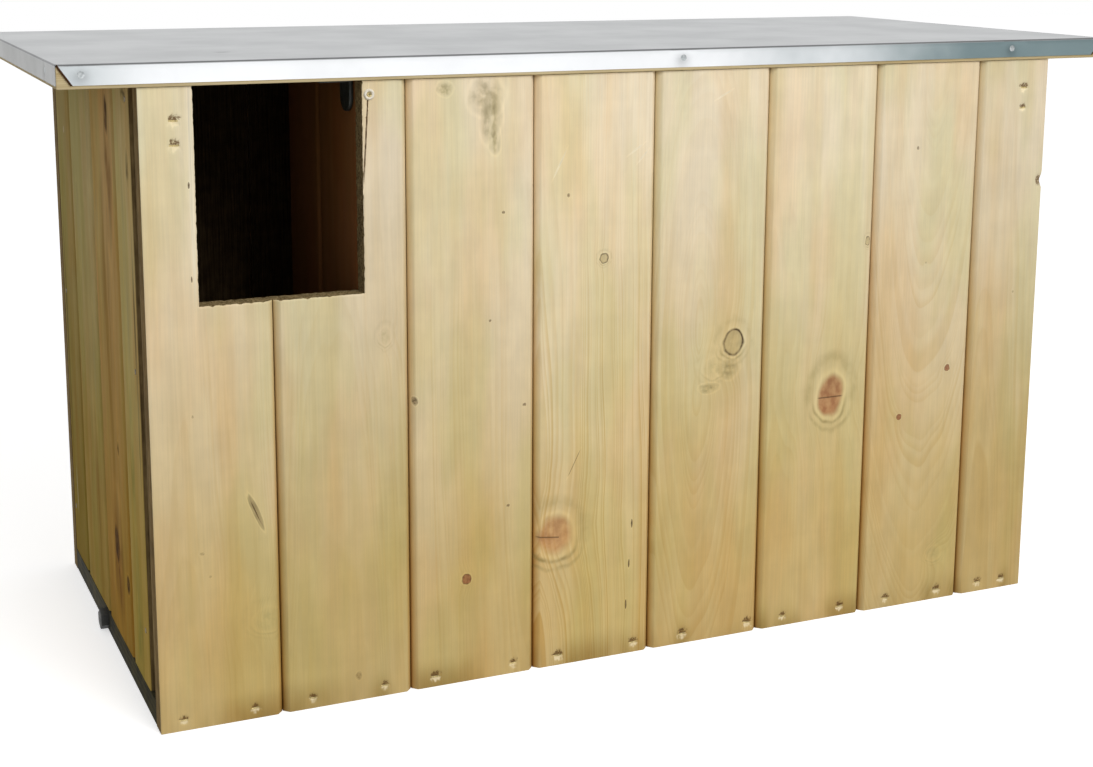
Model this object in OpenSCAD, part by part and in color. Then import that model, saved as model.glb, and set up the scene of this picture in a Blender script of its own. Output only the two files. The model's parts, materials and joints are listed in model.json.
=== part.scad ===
// Owl nest box: upright tongue-and-groove boards on a floor panel and four corner posts,
// an entrance notch under the lid, a partition beside it, and a metal-clad lid hinged at the back.
// Origin: centre of the footprint, on the ground. Front faces -Y, +X to the right, +Z up.

/* [Boards] */
// Width that one full board covers
board_cover = 113; // [100:1:125]
// Width that the first front board covers, at the left corner
first_cover = 102; // [85:1:113]
// Width that the last front board covers, at the right corner
last_cover = 75; // [65:1:113]
// Thickness of the boards
board_t = 18; // [16:0.5:21]
// Width and depth of the bevel along a board's edges
bevel = 5; // [3:0.5:6]
// Gap left between two neighbouring boards
joint_gap = 0.6; // [0.4:0.1:1]
// Length of a board's tongue
tongue_l = 6; // [4:0.5:8]
// Thickness of a board's tongue
tongue_t = 5; // [4:0.5:6]
// Clearance round a tongue in its groove
tongue_clear = 0.25; // [0.15:0.05:0.5]

/* [Box] */
// Outside depth of the box, front face to back face
box_d = 428; // [405:1:460]
// Height of the walls
wall_h = 522; // [480:1:580]
// Thickness of the floor panel
floor_t = 21; // [18:0.5:24]
// Slot between the front wall and the first side board
side_slot = 22; // [14:1:26]
// Width that the first side board covers
side_first_cover = 70; // [60:1:80]
// Height by which the two rear side boards stop short of the floor
side_step = 0.8; // [0.4:0.1:0.9]
// Width of a corner post, along the front wall
post_w = 24; // [21:1:30]
// Depth of a corner post, along the side wall
post_d = 44; // [38:1:50]

/* [Entrance] */
// Width of the entrance
hole_w = 135; // [120:1:145]
// Height of the sill above the ground
sill_z = 350; // [300:1:380]
// Length of the partition behind the front wall
partition_l = 199; // [180:1:240]
// Width that the partition's front board covers
partition_first_cover = 107; // [90:1:120]

/* [Lid] */
// Thickness of the roof deck
deck_t = 18; // [16:0.5:21]
// How far the lid stands out past each side wall
side_over = 60; // [40:1:80]
// How far the lid stands out past the front wall
front_over = 3; // [2:0.5:12]
// Thickness of the metal sheet
sheet_t = 0.8; // [0.6:0.1:1.2]
// Height of the sheet's folded edges
fold_h = 16; // [12:0.5:17]
// How much of a front fold is trimmed off at its lower corners
fold_trim = 11; // [6:0.5:15]
// Gap between the shut lid and the top of the walls
lid_gap = 0.3; // [0.2:0.1:0.6]
// Width of the black tongue under the lid
catch_w = 26; // [20:1:30]
// How far the tongue hangs down below the walls' top
catch_drop = 27; // [20:1:35]
// Thickness of the tongue
catch_t = 3; // [2:0.5:4]
// Length of the tongue's foot along the deck
catch_foot = 28; // [22:1:34]
// Gap between the tongue and the partition
catch_gap = 0.6; // [0.4:0.1:2]
// Gap between the tongue and the front wall
catch_set_back = 3; // [2:0.5:5]

/* [Hinges] */
// Length of a hinge
hinge_l = 60; // [50:1:80]
// Width of a leaf, from the pin's axis to its edge
leaf_w = 16; // [14:0.5:17]
// Thickness of a leaf
leaf_t = 1.5; // [1.2:0.1:1.8]
// Radius of the hinge barrel
barrel_r = 3.2; // [3:0.1:3.8]
// Radius of the hinge pin
pin_r = 1.5; // [1.2:0.1:1.6]
// Radial clearance of the pin in the lid's leaf
pin_clear = 0.05; // [0.02:0.01:0.09]
// Gap between the moving faces of a hinge
hinge_gap = 0.3; // [0.2:0.1:0.5]
// Distance of each hinge's middle from the middle of the box
hinge_x = 250; // [200:1:300]

/* [Fixings] */
// Radial clearance round every nail, screw and staple in its hole
fix_clear = 0.05; // [0.03:0.01:0.1]
// Width of a staple's crown
staple_w = 10; // [8:0.5:12]
// Length of a staple's legs
staple_l = 38; // [30:1:45]
// Width of the staple wire
wire_w = 1.6; // [1.2:0.1:2]
// Height of the foot staples above the ground
staple_z = 9; // [7:0.5:12]
// Radius of a nail's shank
nail_r = 1.2; // [1:0.1:1.5]
// Radius of a side nail's head
nail_head_r = 2.4; // [2:0.1:3]
// Length of a side nail
nail_l = 36; // [30:1:38]
// Radius of a roof nail's head
roof_nail_head_r = 3.5; // [3:0.1:4.5]
// Length of a roof nail
roof_nail_l = 25; // [20:1:35]
// Radius of a wood screw's shank
screw_r = 2; // [1.6:0.1:2.5]
// Radius of a wood screw's head
screw_head_r = 3.9; // [3.4:0.1:4.2]
// Length of the screws up through the floor
floor_screw_l = 55; // [45:1:70]
// Radius of the pale cup washer
washer_r = 4.6; // [4.2:0.1:6]
// Radius of a hinge screw's shank
hinge_screw_r = 1.4; // [1.2:0.1:1.6]
// Radius of a hinge screw's head
hinge_screw_head_r = 2.7; // [2.4:0.1:2.9]
// Length of a hinge screw
hinge_screw_l = 16; // [12:0.5:17]
// Width across the flats of the hex screw heads in the floor's edges
hex_flats = 17; // [13:0.5:18]
// Height of the hex screw heads
hex_h = 7; // [5:0.5:9]

/* [Hidden] */
$fn = 48;
// Tiny overlap that joins two solids, and how far a cutter reaches past what it cuts
eps = 0.01;
reach = 1;

wood = "#d6c598";
side_wood = "#85744a";
inner_wood = "#8a6a44";
floor_wood = "#3f3826";
zinc = "#c3c8ca";
steel = "#9a9c98";
black = "#23251f";
pale_plastic = "#ece7da";

// Left edge of each front board and the right edge of the last, from the left corner
front_count = 8;
front_edges = concat(
  [for (i = [0 : front_count - 1]) i == 0 ? 0 : first_cover + (i - 1) * board_cover],
  [first_cover + (front_count - 2) * board_cover + last_cover]
);
box_w = front_edges[front_count];
left_x = -box_w / 2;
front_y = -box_d / 2;
back_y = box_d / 2;

// Edges of the side boards, from the front end of the side wall
side_count = 4;
side_run = box_d - 2 * board_t - side_slot;
side_front_y = front_y + board_t + side_slot;
side_edges = [
  0,
  side_first_cover,
  side_first_cover + board_cover,
  side_first_cover + 2 * board_cover,
  side_run
];

// Depth of the tongue's outer face below a board's outer face
tongue_y = (board_t + bevel) / 2 - tongue_t / 2;
groove_d = tongue_l + tongue_clear;

// The entrance is cut flush with the left post, and the partition stands flush with its other edge
hole_left = board_t + post_w;
partition_x = left_x + hole_left + hole_w;
partition_back_y = front_y + board_t + partition_l;
partition_edges = [0, partition_l - partition_first_cover, partition_l];

// The lid's levels and its outside
deck_z = wall_h + lid_gap;
sheet_z = deck_z + deck_t + sheet_t;
roof_x = left_x - side_over;
roof_w = box_w + 2 * side_over;
roof_y = front_y - front_over;
roof_d = back_y - roof_y;

// Hinge axis, just behind the back wall at the walls' top
axis_y = back_y + barrel_r + hinge_gap;
axis_z = wall_h;
knuckles = 5;
knuckle_l = hinge_l / knuckles;
leaf_start = barrel_r + hinge_gap;
leaf_screw_z = (leaf_start + leaf_w) / 2;
leaf_screw_x = [-hinge_l / 3, 0, hinge_l / 3];

// Distance of each foot staple from its board's left and right edge, as driven by hand
staple_insets = [[19, 24], [25, 25], [21, 20], [23, 16], [34, 11], [27, 23], [29, 25], [24, 22]];
// Distance of the upper corner staples from the box's corner and below the walls' top
corner_staple_in = 27;
corner_staple_down = [26, 45];
// Places of the fold nails, from the lid's left end, and of the side ones, from its front
front_nail_x = [19, 524, roof_w - 105];
side_nail_y = [53, roof_d - 101];
back_nail_x = [60, roof_w / 2, roof_w - 60];
// Height and top radius of a nail's head, and how far the side nails sit in from a wall's back end
nail_head_h = 1;
roof_nail_top_r = 0.7 * roof_nail_head_r;
wall_nail_in = post_d / 4;
// Heights of the side nails above the ground
wall_nail_z = [70, wall_h - 232, wall_h - 13];
// The partition's screw, from the partition's near face and below the walls' top
partition_screw_in = 6;
partition_screw_down = 11;
partition_screw_l = 50;
washer_t = 1.4;
washer_top_r = 0.8 * washer_r;
screw_dome = 1.6;
screw_dome_r = 0.7 * screw_head_r;
screw_dome_top_r = 0.8 * screw_r;
// How far back the hex screws sit from the front face, and how long they are
hex_back = 240;
hex_shank_r = 4;
hex_shank_l = 50;
// Length of the tongue's screws, and their places along its foot and across it
catch_screw_l = 14;
catch_screw_in = 0.6 * catch_foot;
catch_screw_y = [catch_w / 4, catch_w * 3 / 4];

// Outline of a board: outer face on y = 0, bevels there, groove at its left, tongue at its right
module board_outline(cover, plain_left, plain_right) {
  l = plain_left ? 0 : joint_gap / 2;
  r = plain_right ? cover : cover - joint_gap / 2;
  bl = plain_left ? 0 : bevel;
  br = plain_right ? 0 : bevel;
  difference() {
    union() {
      polygon([[l, bl], [bl, 0], [cover - br, 0], [r, br], [r, board_t], [l, board_t]]);
      if (!plain_right)
        translate([r - eps, tongue_y])
          square([tongue_l - joint_gap / 2 + eps, tongue_t]);
    }
    if (!plain_left)
      translate([l - eps, tongue_y - tongue_clear])
        square([groove_d, tongue_t + 2 * tongue_clear]);
  }
}

module board(edges, i, count, bottom) {
  translate([edges[i], 0, bottom])
    linear_extrude(height = wall_h - bottom)
      board_outline(edges[i + 1] - edges[i], i == 0, i == count - 1);
}

// Turns that put a wall's outline, drawn as seen from outside, in its place
module front_wall() { translate([left_x, front_y, 0]) children(); }
module back_wall() { translate([-left_x, back_y, 0]) rotate(180) children(); }
module left_wall() { translate([left_x, side_front_y + side_run, 0]) rotate(-90) children(); }
module right_wall() { translate([-left_x, side_front_y, 0]) rotate(90) children(); }
module partition_wall() { translate([partition_x, partition_back_y, 0]) rotate(-90) children(); }

// A staple driven into y > 0 at the origin, its crown level, sunk flush with y = 0
module staple(clear = 0) {
  wide = staple_w + 2 * clear;
  wire = wire_w + 2 * clear;
  translate([-wide / 2, -clear, -wire / 2]) {
    cube([wide, wire_w + clear, wire]);
    for (x = [0, wide - wire])
      translate([x, 0, 0]) cube([wire, staple_l + 2 * clear, wire]);
  }
}

// All staples of the front wall, as seen from outside
module wall_staples(clear = 0) {
  for (i = [0 : front_count - 1]) {
    translate([front_edges[i] + staple_insets[i][0], 0, staple_z]) staple(clear);
    translate([front_edges[i + 1] - staple_insets[i][1], 0, staple_z]) staple(clear);
  }
  for (x = [corner_staple_in, box_w - corner_staple_in])
    for (down = corner_staple_down)
      translate([x, 0, wall_h - down]) staple(clear);
}

// A round nail driven into y > 0, its head flush with y = 0
module side_nail(clear = 0) {
  rotate([-90, 0, 0]) {
    cylinder(r = nail_head_r + clear, h = nail_head_h + clear);
    cylinder(r = nail_r + clear, h = nail_l + clear);
  }
}

module side_nails(clear = 0) {
  for (z = wall_nail_z) {
    left_wall() {
      translate([wall_nail_in, 0, z]) side_nail(clear);
      translate([side_run - (post_d - side_slot) / 2, 0, z]) side_nail(clear);
    }
    right_wall() {
      translate([(post_d - side_slot) / 2, 0, z]) side_nail(clear);
      translate([side_run - wall_nail_in, 0, z]) side_nail(clear);
    }
  }
}

// A countersunk screw along +Z, its head flush with z = 0
module sunk_screw(r, head_r, length, clear = 0) {
  cylinder(r1 = head_r + clear, r2 = r + clear, h = head_r - r);
  cylinder(r = r + clear, h = length + clear);
}

// The screws that go up through the floor: side boards, posts and partition
module floor_screws(clear = 0) {
  side_x = box_w / 2 - board_t / 2;
  post_x = box_w / 2 - board_t - post_w / 2;
  post_y = box_d / 2 - board_t - post_d / 2;
  for (s = [-1, 1]) {
    for (i = [0 : side_count - 1])
      translate([s * side_x, side_front_y + (side_edges[i] + side_edges[i + 1]) / 2, 0])
        sunk_screw(screw_r, screw_head_r, floor_screw_l, clear);
    for (t = [-1, 1])
      translate([s * post_x, t * post_y, 0])
        sunk_screw(screw_r, screw_head_r, floor_screw_l, clear);
  }
  for (i = [0, 1])
    translate([
      partition_x + board_t / 2,
      partition_back_y - (partition_edges[i] + partition_edges[i + 1]) / 2,
      0
    ])
      sunk_screw(screw_r, screw_head_r, floor_screw_l, clear);
}

// The hex screws, one in each end of the floor panel
module hex_screws(clear = 0) {
  for (s = [-1, 1])
    translate([s * box_w / 2, front_y + hex_back, floor_t / 2])
      rotate([0, -s * 90, 0]) {
        if (clear == 0)
          translate([0, 0, -hex_h]) {
            rotate(30) cylinder(r = hex_flats / 2 / cos(30), h = hex_h, $fn = 6);
            cylinder(r = hex_shank_r, h = hex_h + hex_shank_l);
          }
        else
          cylinder(r = hex_shank_r + clear, h = hex_shank_l + clear);
      }
}

module at_partition_screw() {
  translate([
    partition_x + partition_screw_in,
    front_y,
    wall_h - partition_screw_down
  ])
    rotate([-90, 0, 0]) children();
}

module partition_screw_shank(clear = 0) {
  cylinder(r = screw_r + clear, h = partition_screw_l + clear);
}

// The block cut out of the front wall for the entrance
module entrance() {
  translate([left_x + hole_left, front_y - reach, sill_z])
    cube([hole_w, board_t + 2 * reach, wall_h]);
}

module front_board(n) {
  color(wood)
    difference() {
      front_wall() board(front_edges, n - 1, front_count, 0);
      entrance();
      front_wall() wall_staples(fix_clear);
      translate([0, -reach, 0])
        at_partition_screw() partition_screw_shank(fix_clear);
    }
}

module back_board(n) {
  color(wood)
    difference() {
      back_wall() board(front_edges, n - 1, front_count, 0);
      back_wall() wall_staples(fix_clear);
      for (s = [-1, 1]) hinge_place(s) leaf_screws(-1, fix_clear);
    }
}

// Side boards are numbered from the front; the left wall's outline starts at its back end
module left_board(n) {
  edges = [for (i = [side_count : -1 : 0]) side_run - side_edges[i]];
  color(side_wood)
    difference() {
      left_wall() board(edges, side_count - n, side_count, side_bottom(n));
      side_nails(fix_clear);
      floor_screws(fix_clear);
    }
}

module right_board(n) {
  color(side_wood)
    difference() {
      right_wall() board(side_edges, n - 1, side_count, side_bottom(n));
      side_nails(fix_clear);
      floor_screws(fix_clear);
    }
}

function side_bottom(n) = n > side_count / 2 ? floor_t + side_step : floor_t;

module floor_panel() {
  color(floor_wood)
    difference() {
      translate([left_x, front_y + board_t, 0])
        cube([box_w, box_d - 2 * board_t, floor_t]);
      front_wall() wall_staples(fix_clear);
      back_wall() wall_staples(fix_clear);
      floor_screws(fix_clear);
      hex_screws(fix_clear);
    }
}

// A corner post: sx is -1 at the left and 1 at the right, sy is -1 in front and 1 at the back
module post(sx, sy) {
  x = box_w / 2 - board_t - post_w / 2;
  y = box_d / 2 - board_t - post_d / 2;
  color(inner_wood)
    difference() {
      translate([sx * x - post_w / 2, sy * y - post_d / 2, floor_t])
        cube([post_w, post_d, wall_h - floor_t]);
      front_wall() wall_staples(fix_clear);
      back_wall() wall_staples(fix_clear);
      side_nails(fix_clear);
      floor_screws(fix_clear);
    }
}

// The partition's boards are numbered from the front
module partition_board(n) {
  color(inner_wood)
    difference() {
      partition_wall() board(partition_edges, 2 - n, 2, floor_t);
      floor_screws(fix_clear);
      at_partition_screw() partition_screw_shank(fix_clear);
    }
}

module partition_screw() {
  color(steel)
    at_partition_screw() {
      partition_screw_shank();
      translate([0, 0, -washer_t - screw_dome])
        cylinder(r1 = screw_dome_top_r, r2 = screw_dome_r, h = screw_dome);
      translate([0, 0, -washer_t])
        cylinder(r = screw_r, h = washer_t);
    }
}

module partition_washer() {
  color(pale_plastic)
    at_partition_screw()
      translate([0, 0, -washer_t])
        difference() {
          cylinder(r1 = washer_top_r, r2 = washer_r, h = washer_t);
          translate([0, 0, -eps])
            cylinder(r = screw_r + fix_clear, h = washer_t + 2 * eps);
        }
}

module front_staples() { color(steel) front_wall() wall_staples(); }
module back_staples() { color(steel) back_wall() wall_staples(); }

// A hinge's own frame: X along the pin, the back wall at y = 0, the axis level at z = 0
module hinge_place(s) { translate([s * hinge_x, back_y, axis_z]) children(); }

// One leaf; up is 1 for the lid's leaf, which has the even knuckles, and -1 for the wall's
module leaf(up, bore_r) {
  own = up == 1 ? [1, 3] : [0, 2, 4];
  plate_z = up == 1 ? leaf_start : -leaf_w;
  difference() {
    union() {
      translate([-hinge_l / 2, 0, plate_z])
        cube([hinge_l, leaf_t, leaf_w - leaf_start]);
      for (k = own)
        translate([-hinge_l / 2 + k * knuckle_l + hinge_gap / 2, 0, 0]) {
          translate([0, axis_y - back_y, 0])
            rotate([0, 90, 0]) cylinder(r = barrel_r, h = knuckle_l - hinge_gap);
          translate([0, 0, up == 1 ? 0 : -leaf_start - eps])
            cube([knuckle_l - hinge_gap, leaf_t, leaf_start + eps]);
        }
    }
    translate([-hinge_l / 2 - reach, axis_y - back_y, 0])
      rotate([0, 90, 0]) cylinder(r = bore_r, h = hinge_l + 2 * reach);
    leaf_screws(up, fix_clear);
  }
}

module leaf_screws(up, clear = 0) {
  for (x = leaf_screw_x)
    translate([x, leaf_t, up * leaf_screw_z])
      rotate([90, 0, 0])
        sunk_screw(hinge_screw_r, hinge_screw_head_r, hinge_screw_l, clear);
}

module wall_leaf(s) { color(black) hinge_place(s) leaf(-1, pin_r + fix_clear / 2); }
module lid_leaf(s) { color(black) hinge_place(s) leaf(1, pin_r + pin_clear); }

module hinge_pin(s) {
  color(black)
    hinge_place(s)
      translate([-hinge_l / 2, axis_y - back_y, 0])
        rotate([0, 90, 0]) cylinder(r = pin_r, h = hinge_l);
}

module hinge_wall_screws() {
  color(black)
    for (s = [-1, 1]) hinge_place(s) leaf_screws(-1);
}

module hinge_lid_screws() {
  color(black)
    for (s = [-1, 1]) hinge_place(s) leaf_screws(1);
}

// A roof nail driven along +Z, its head on z = 0
module roof_nail(clear = 0) {
  if (clear == 0)
    translate([0, 0, -nail_head_h])
      cylinder(r1 = roof_nail_top_r, r2 = roof_nail_head_r, h = nail_head_h);
  cylinder(r = nail_r + clear, h = roof_nail_l + clear);
}

module roof_nails(clear = 0) {
  nail_z = sheet_z - fold_h / 2;
  for (x = front_nail_x)
    translate([roof_x + x, roof_y, nail_z]) rotate([-90, 0, 0]) roof_nail(clear);
  for (x = back_nail_x)
    translate([roof_x + x, back_y, nail_z]) rotate([90, 0, 0]) roof_nail(clear);
  for (y = side_nail_y) {
    translate([roof_x, roof_y + y, nail_z]) rotate([0, 90, 0]) roof_nail(clear);
    translate([roof_x + roof_w, roof_y + y, nail_z]) rotate([0, -90, 0]) roof_nail(clear);
  }
}

module roof_deck() {
  color(wood)
    difference() {
      translate([roof_x + sheet_t, roof_y + sheet_t, deck_z])
        cube([roof_w - 2 * sheet_t, roof_d - 2 * sheet_t, deck_t]);
      roof_nails(fix_clear);
      catch_screws(fix_clear);
      for (s = [-1, 1]) hinge_place(s) leaf_screws(1, fix_clear);
    }
}

// One long fold of the sheet, with its lower corners trimmed off aslant
module long_fold() {
  rotate([90, 0, 0])
    translate([0, 0, -sheet_t])
      linear_extrude(height = sheet_t)
        polygon([
          [0, sheet_z],
          [fold_trim, sheet_z - fold_h],
          [roof_w - fold_trim, sheet_z - fold_h],
          [roof_w, sheet_z]
        ]);
}

module roof_sheet() {
  color(zinc)
    difference() {
      union() {
        translate([roof_x, roof_y, sheet_z - sheet_t])
          cube([roof_w, roof_d, sheet_t]);
        translate([roof_x, roof_y, 0]) long_fold();
        translate([roof_x, back_y - sheet_t, 0]) long_fold();
        for (x = [roof_x, roof_x + roof_w - sheet_t])
          translate([x, roof_y, sheet_z - fold_h])
            cube([sheet_t, roof_d, fold_h]);
      }
      roof_nails(fix_clear);
      for (s = [-1, 1]) hinge_place(s) leaf_screws(1, fix_clear);
    }
}

// The tongue's place: its foot's upper face on z = 0, its hanging face on x = 0
module catch_place() {
  translate([
    partition_x - catch_gap,
    front_y + board_t + catch_set_back,
    deck_z
  ])
    children();
}

module catch_screws(clear = 0) {
  catch_place()
    for (y = catch_screw_y)
      translate([-catch_screw_in, y, -catch_t])
        sunk_screw(hinge_screw_r, hinge_screw_head_r, catch_screw_l, clear);
}

module lid_catch() {
  hang = catch_drop + lid_gap;
  color(black)
    difference() {
      catch_place() {
        translate([-catch_foot, 0, -catch_t]) cube([catch_foot, catch_w, catch_t]);
        translate([-catch_t, 0, -hang + catch_w / 2])
          cube([catch_t, catch_w, hang - catch_w / 2]);
        translate([-catch_t, catch_w / 2, -hang + catch_w / 2])
          rotate([0, 90, 0]) cylinder(r = catch_w / 2, h = catch_t);
      }
      catch_screws(fix_clear);
    }
}

front_board(1);  // front_board_1
front_board(2);  // front_board_2
front_board(3);  // front_board_3
front_board(4);  // front_board_4
front_board(5);  // front_board_5
front_board(6);  // front_board_6
front_board(7);  // front_board_7
front_board(8);  // front_board_8
back_board(1);  // back_board_1
back_board(2);  // back_board_2
back_board(3);  // back_board_3
back_board(4);  // back_board_4
back_board(5);  // back_board_5
back_board(6);  // back_board_6
back_board(7);  // back_board_7
back_board(8);  // back_board_8
left_board(1);  // left_board_1
left_board(2);  // left_board_2
left_board(3);  // left_board_3
left_board(4);  // left_board_4
right_board(1);  // right_board_1
right_board(2);  // right_board_2
right_board(3);  // right_board_3
right_board(4);  // right_board_4
floor_panel();
post(-1, -1);  // post_front_left
post(1, -1);  // post_front_right
post(-1, 1);  // post_back_left
post(1, 1);  // post_back_right
partition_board(1);  // partition_board_1
partition_board(2);  // partition_board_2
partition_screw();
partition_washer();
front_staples();
back_staples();
color(steel) side_nails();
color(steel) floor_screws();
color(black) hex_screws();  // floor_hex_screws
wall_leaf(-1);  // hinge_left_wall_leaf
wall_leaf(1);  // hinge_right_wall_leaf
hinge_pin(-1);  // hinge_left_pin
hinge_pin(1);  // hinge_right_pin
hinge_wall_screws();
roof_deck();
roof_sheet();
color(zinc) roof_nails();
lid_catch();
color(black) catch_screws();  // lid_catch_screws
lid_leaf(-1);  // hinge_left_lid_leaf
lid_leaf(1);  // hinge_right_lid_leaf
hinge_lid_screws();
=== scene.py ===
"""Owl nest box with a metal-clad lid: boards, fixings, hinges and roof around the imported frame."""
import json
import math
import random
from collections import namedtuple

import bmesh
import bpy
from bmesh.types import BMEdge, BMFace, BMVert
from bpy.props import FloatProperty, FloatVectorProperty, IntProperty, PointerProperty
from mathutils import Matrix, Vector, noise


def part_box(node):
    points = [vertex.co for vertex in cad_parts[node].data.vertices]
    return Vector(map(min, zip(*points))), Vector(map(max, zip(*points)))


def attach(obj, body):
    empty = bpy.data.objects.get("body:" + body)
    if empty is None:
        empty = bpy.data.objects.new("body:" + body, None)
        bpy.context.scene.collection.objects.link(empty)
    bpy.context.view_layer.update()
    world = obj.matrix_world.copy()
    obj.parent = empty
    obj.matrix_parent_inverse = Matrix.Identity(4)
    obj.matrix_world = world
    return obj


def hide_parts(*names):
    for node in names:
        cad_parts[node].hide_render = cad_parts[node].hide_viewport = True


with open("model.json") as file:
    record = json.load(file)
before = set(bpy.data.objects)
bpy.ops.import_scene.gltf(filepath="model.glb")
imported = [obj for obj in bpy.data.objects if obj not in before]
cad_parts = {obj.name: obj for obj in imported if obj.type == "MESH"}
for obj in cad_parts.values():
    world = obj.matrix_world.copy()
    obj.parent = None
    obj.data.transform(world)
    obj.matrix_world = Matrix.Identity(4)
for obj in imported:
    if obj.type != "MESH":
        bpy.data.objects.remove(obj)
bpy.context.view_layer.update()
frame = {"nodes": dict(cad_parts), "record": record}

bl_info = {
    "name": "Owl nest box",
    "version": (1, 0, 0),
    "blender": (4, 5, 0),
    "location": "3D View > Sidebar > Nest Box",
    "description": "Builds the boards, fixings and lid of an owl nest box around its frame",
    "category": "Object",
}

MM = 0.001
# Two places nearer than this are the same, in millimetres
TOUCH = 0.01

# Machined profile of the tongue-and-groove boards, in millimetres
BEVEL = 5.0
JOINT_GAP = 0.6
TONGUE_OUT = 5.7
TONGUE_T = 5.0
TONGUE_CLEAR = 0.25
TONGUE_IN = 9.0
GROOVE_IN = 6.25
# How far the block that saws the entrance reaches past the wood
PAST = 2.0

# A wall's own place: u runs to the right as seen from outside, d into the wood, z up
Wall = namedtuple("Wall", "corner turn")
# A board in a wall, counted from the wall's left as seen from outside
Board = namedtuple("Board", "node wall first last")
# A knot or blemish: its middle and half sizes in the wall's millimetres, tilt in degrees
Mark = namedtuple("Mark", "kind u z wide tall tilt", defaults=(0,))
# How a kind of mark looks: colour, its share, dark rim, push on the grain, softness, how far
# a crack reaches across it, and the olive arcs under it
Kind = namedtuple("Kind", "ink share rim push soft crack arc")
# How a board was cut from its log: u and depth of the pith, its drift in depth up the board,
# and how light the board is and how strongly its rings show
Cut = namedtuple("Cut", "u d drift tone rings", defaults=(1.0, 1.0))
# A kind of wood: colour at its top and foot, strength of its patches, and roughness
Wood = namedtuple("Wood", "top foot patches rough")
# A torn hollow round a staple
Dent = namedtuple("Dent", "u z radius depth")
# A crack along the grain: u and z of its two ends, half width and depth
Crack = namedtuple("Crack", "top foot half depth")
# A splintered place on a board's edge: its height, half length, and how far it bites in
Bite = namedtuple("Bite", "z half deep")


def srgb(code):
    """A hex colour as the linear values that shaders take."""
    parts = [int(code[i : i + 2], 16) / 255 for i in (0, 2, 4)]
    return tuple(c / 12.92 if c <= 0.04045 else ((c + 0.055) / 1.055) ** 2.4 for c in parts)


KINDS = {
    "red": Kind(srgb("a5633c"), 0.85, 0.0, 0.7, 0.3, 1.0, 1.0),
    "rosy": Kind(srgb("c0804d"), 0.75, 0.0, 0.6, 0.4, 0.66, 1.0),
    "ringed": Kind(srgb("b09a66"), 0.5, 1.0, 0.5, 0.1, 0.0, 0.6),
    "brown": Kind(srgb("8f5433"), 0.9, 0.55, 0.7, 0.15, 0.0, 0.2),
    "pin": Kind(srgb("553b1b"), 0.85, 0.0, 0.5, 0.5, 0.0, 0.0),
    "dot": Kind(srgb("6b5026"), 0.5, 0.0, 0.4, 0.6, 0.0, 0.0),
    "slit": Kind(srgb("4a3216"), 0.95, 0.0, 0.0, 0.3, 0.0, 0.0),
    "line": Kind(srgb("7a5c34"), 0.75, 0.0, 0.0, 0.3, 0.0, 0.0),
    "scar": Kind(srgb("8a7750"), 0.75, 0.25, 0.0, 0.3, 0.0, 0.0),
    "swirl": Kind(srgb("a89c66"), 0.3, 0.0, 0.8, 0.8, 0.0, 0.3),
    "stain": Kind(srgb("8f8050"), 0.6, 0.0, 0.0, 0.75, 0.0, 0.0),
    "rust": Kind(srgb("6b3d1c"), 0.75, 0.0, 0.0, 0.8, 0.0, 0.0),
    "pale": Kind(srgb("f6ecd4"), 0.55, 0.0, 0.0, 0.3, 0.0, 0.0),
    "worn": Kind(srgb("cbb988"), 0.45, 0.0, 0.0, 0.8, 0.0, 0.0),
    "amber": Kind(srgb("a0702a"), 0.6, 0.0, 0.0, 0.8, 0.0, 0.0),
    "hole": Kind(srgb("3f2812"), 0.95, 0.0, 0.6, 0.35, 0.0, 0.0),
    "moss": Kind(srgb("75803a"), 0.45, 0.0, 0.0, 0.8, 0.0, 0.0),
    "dirt": Kind(srgb("463d22"), 0.7, 0.0, 0.0, 0.7, 0.0, 0.0),
}

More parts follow.
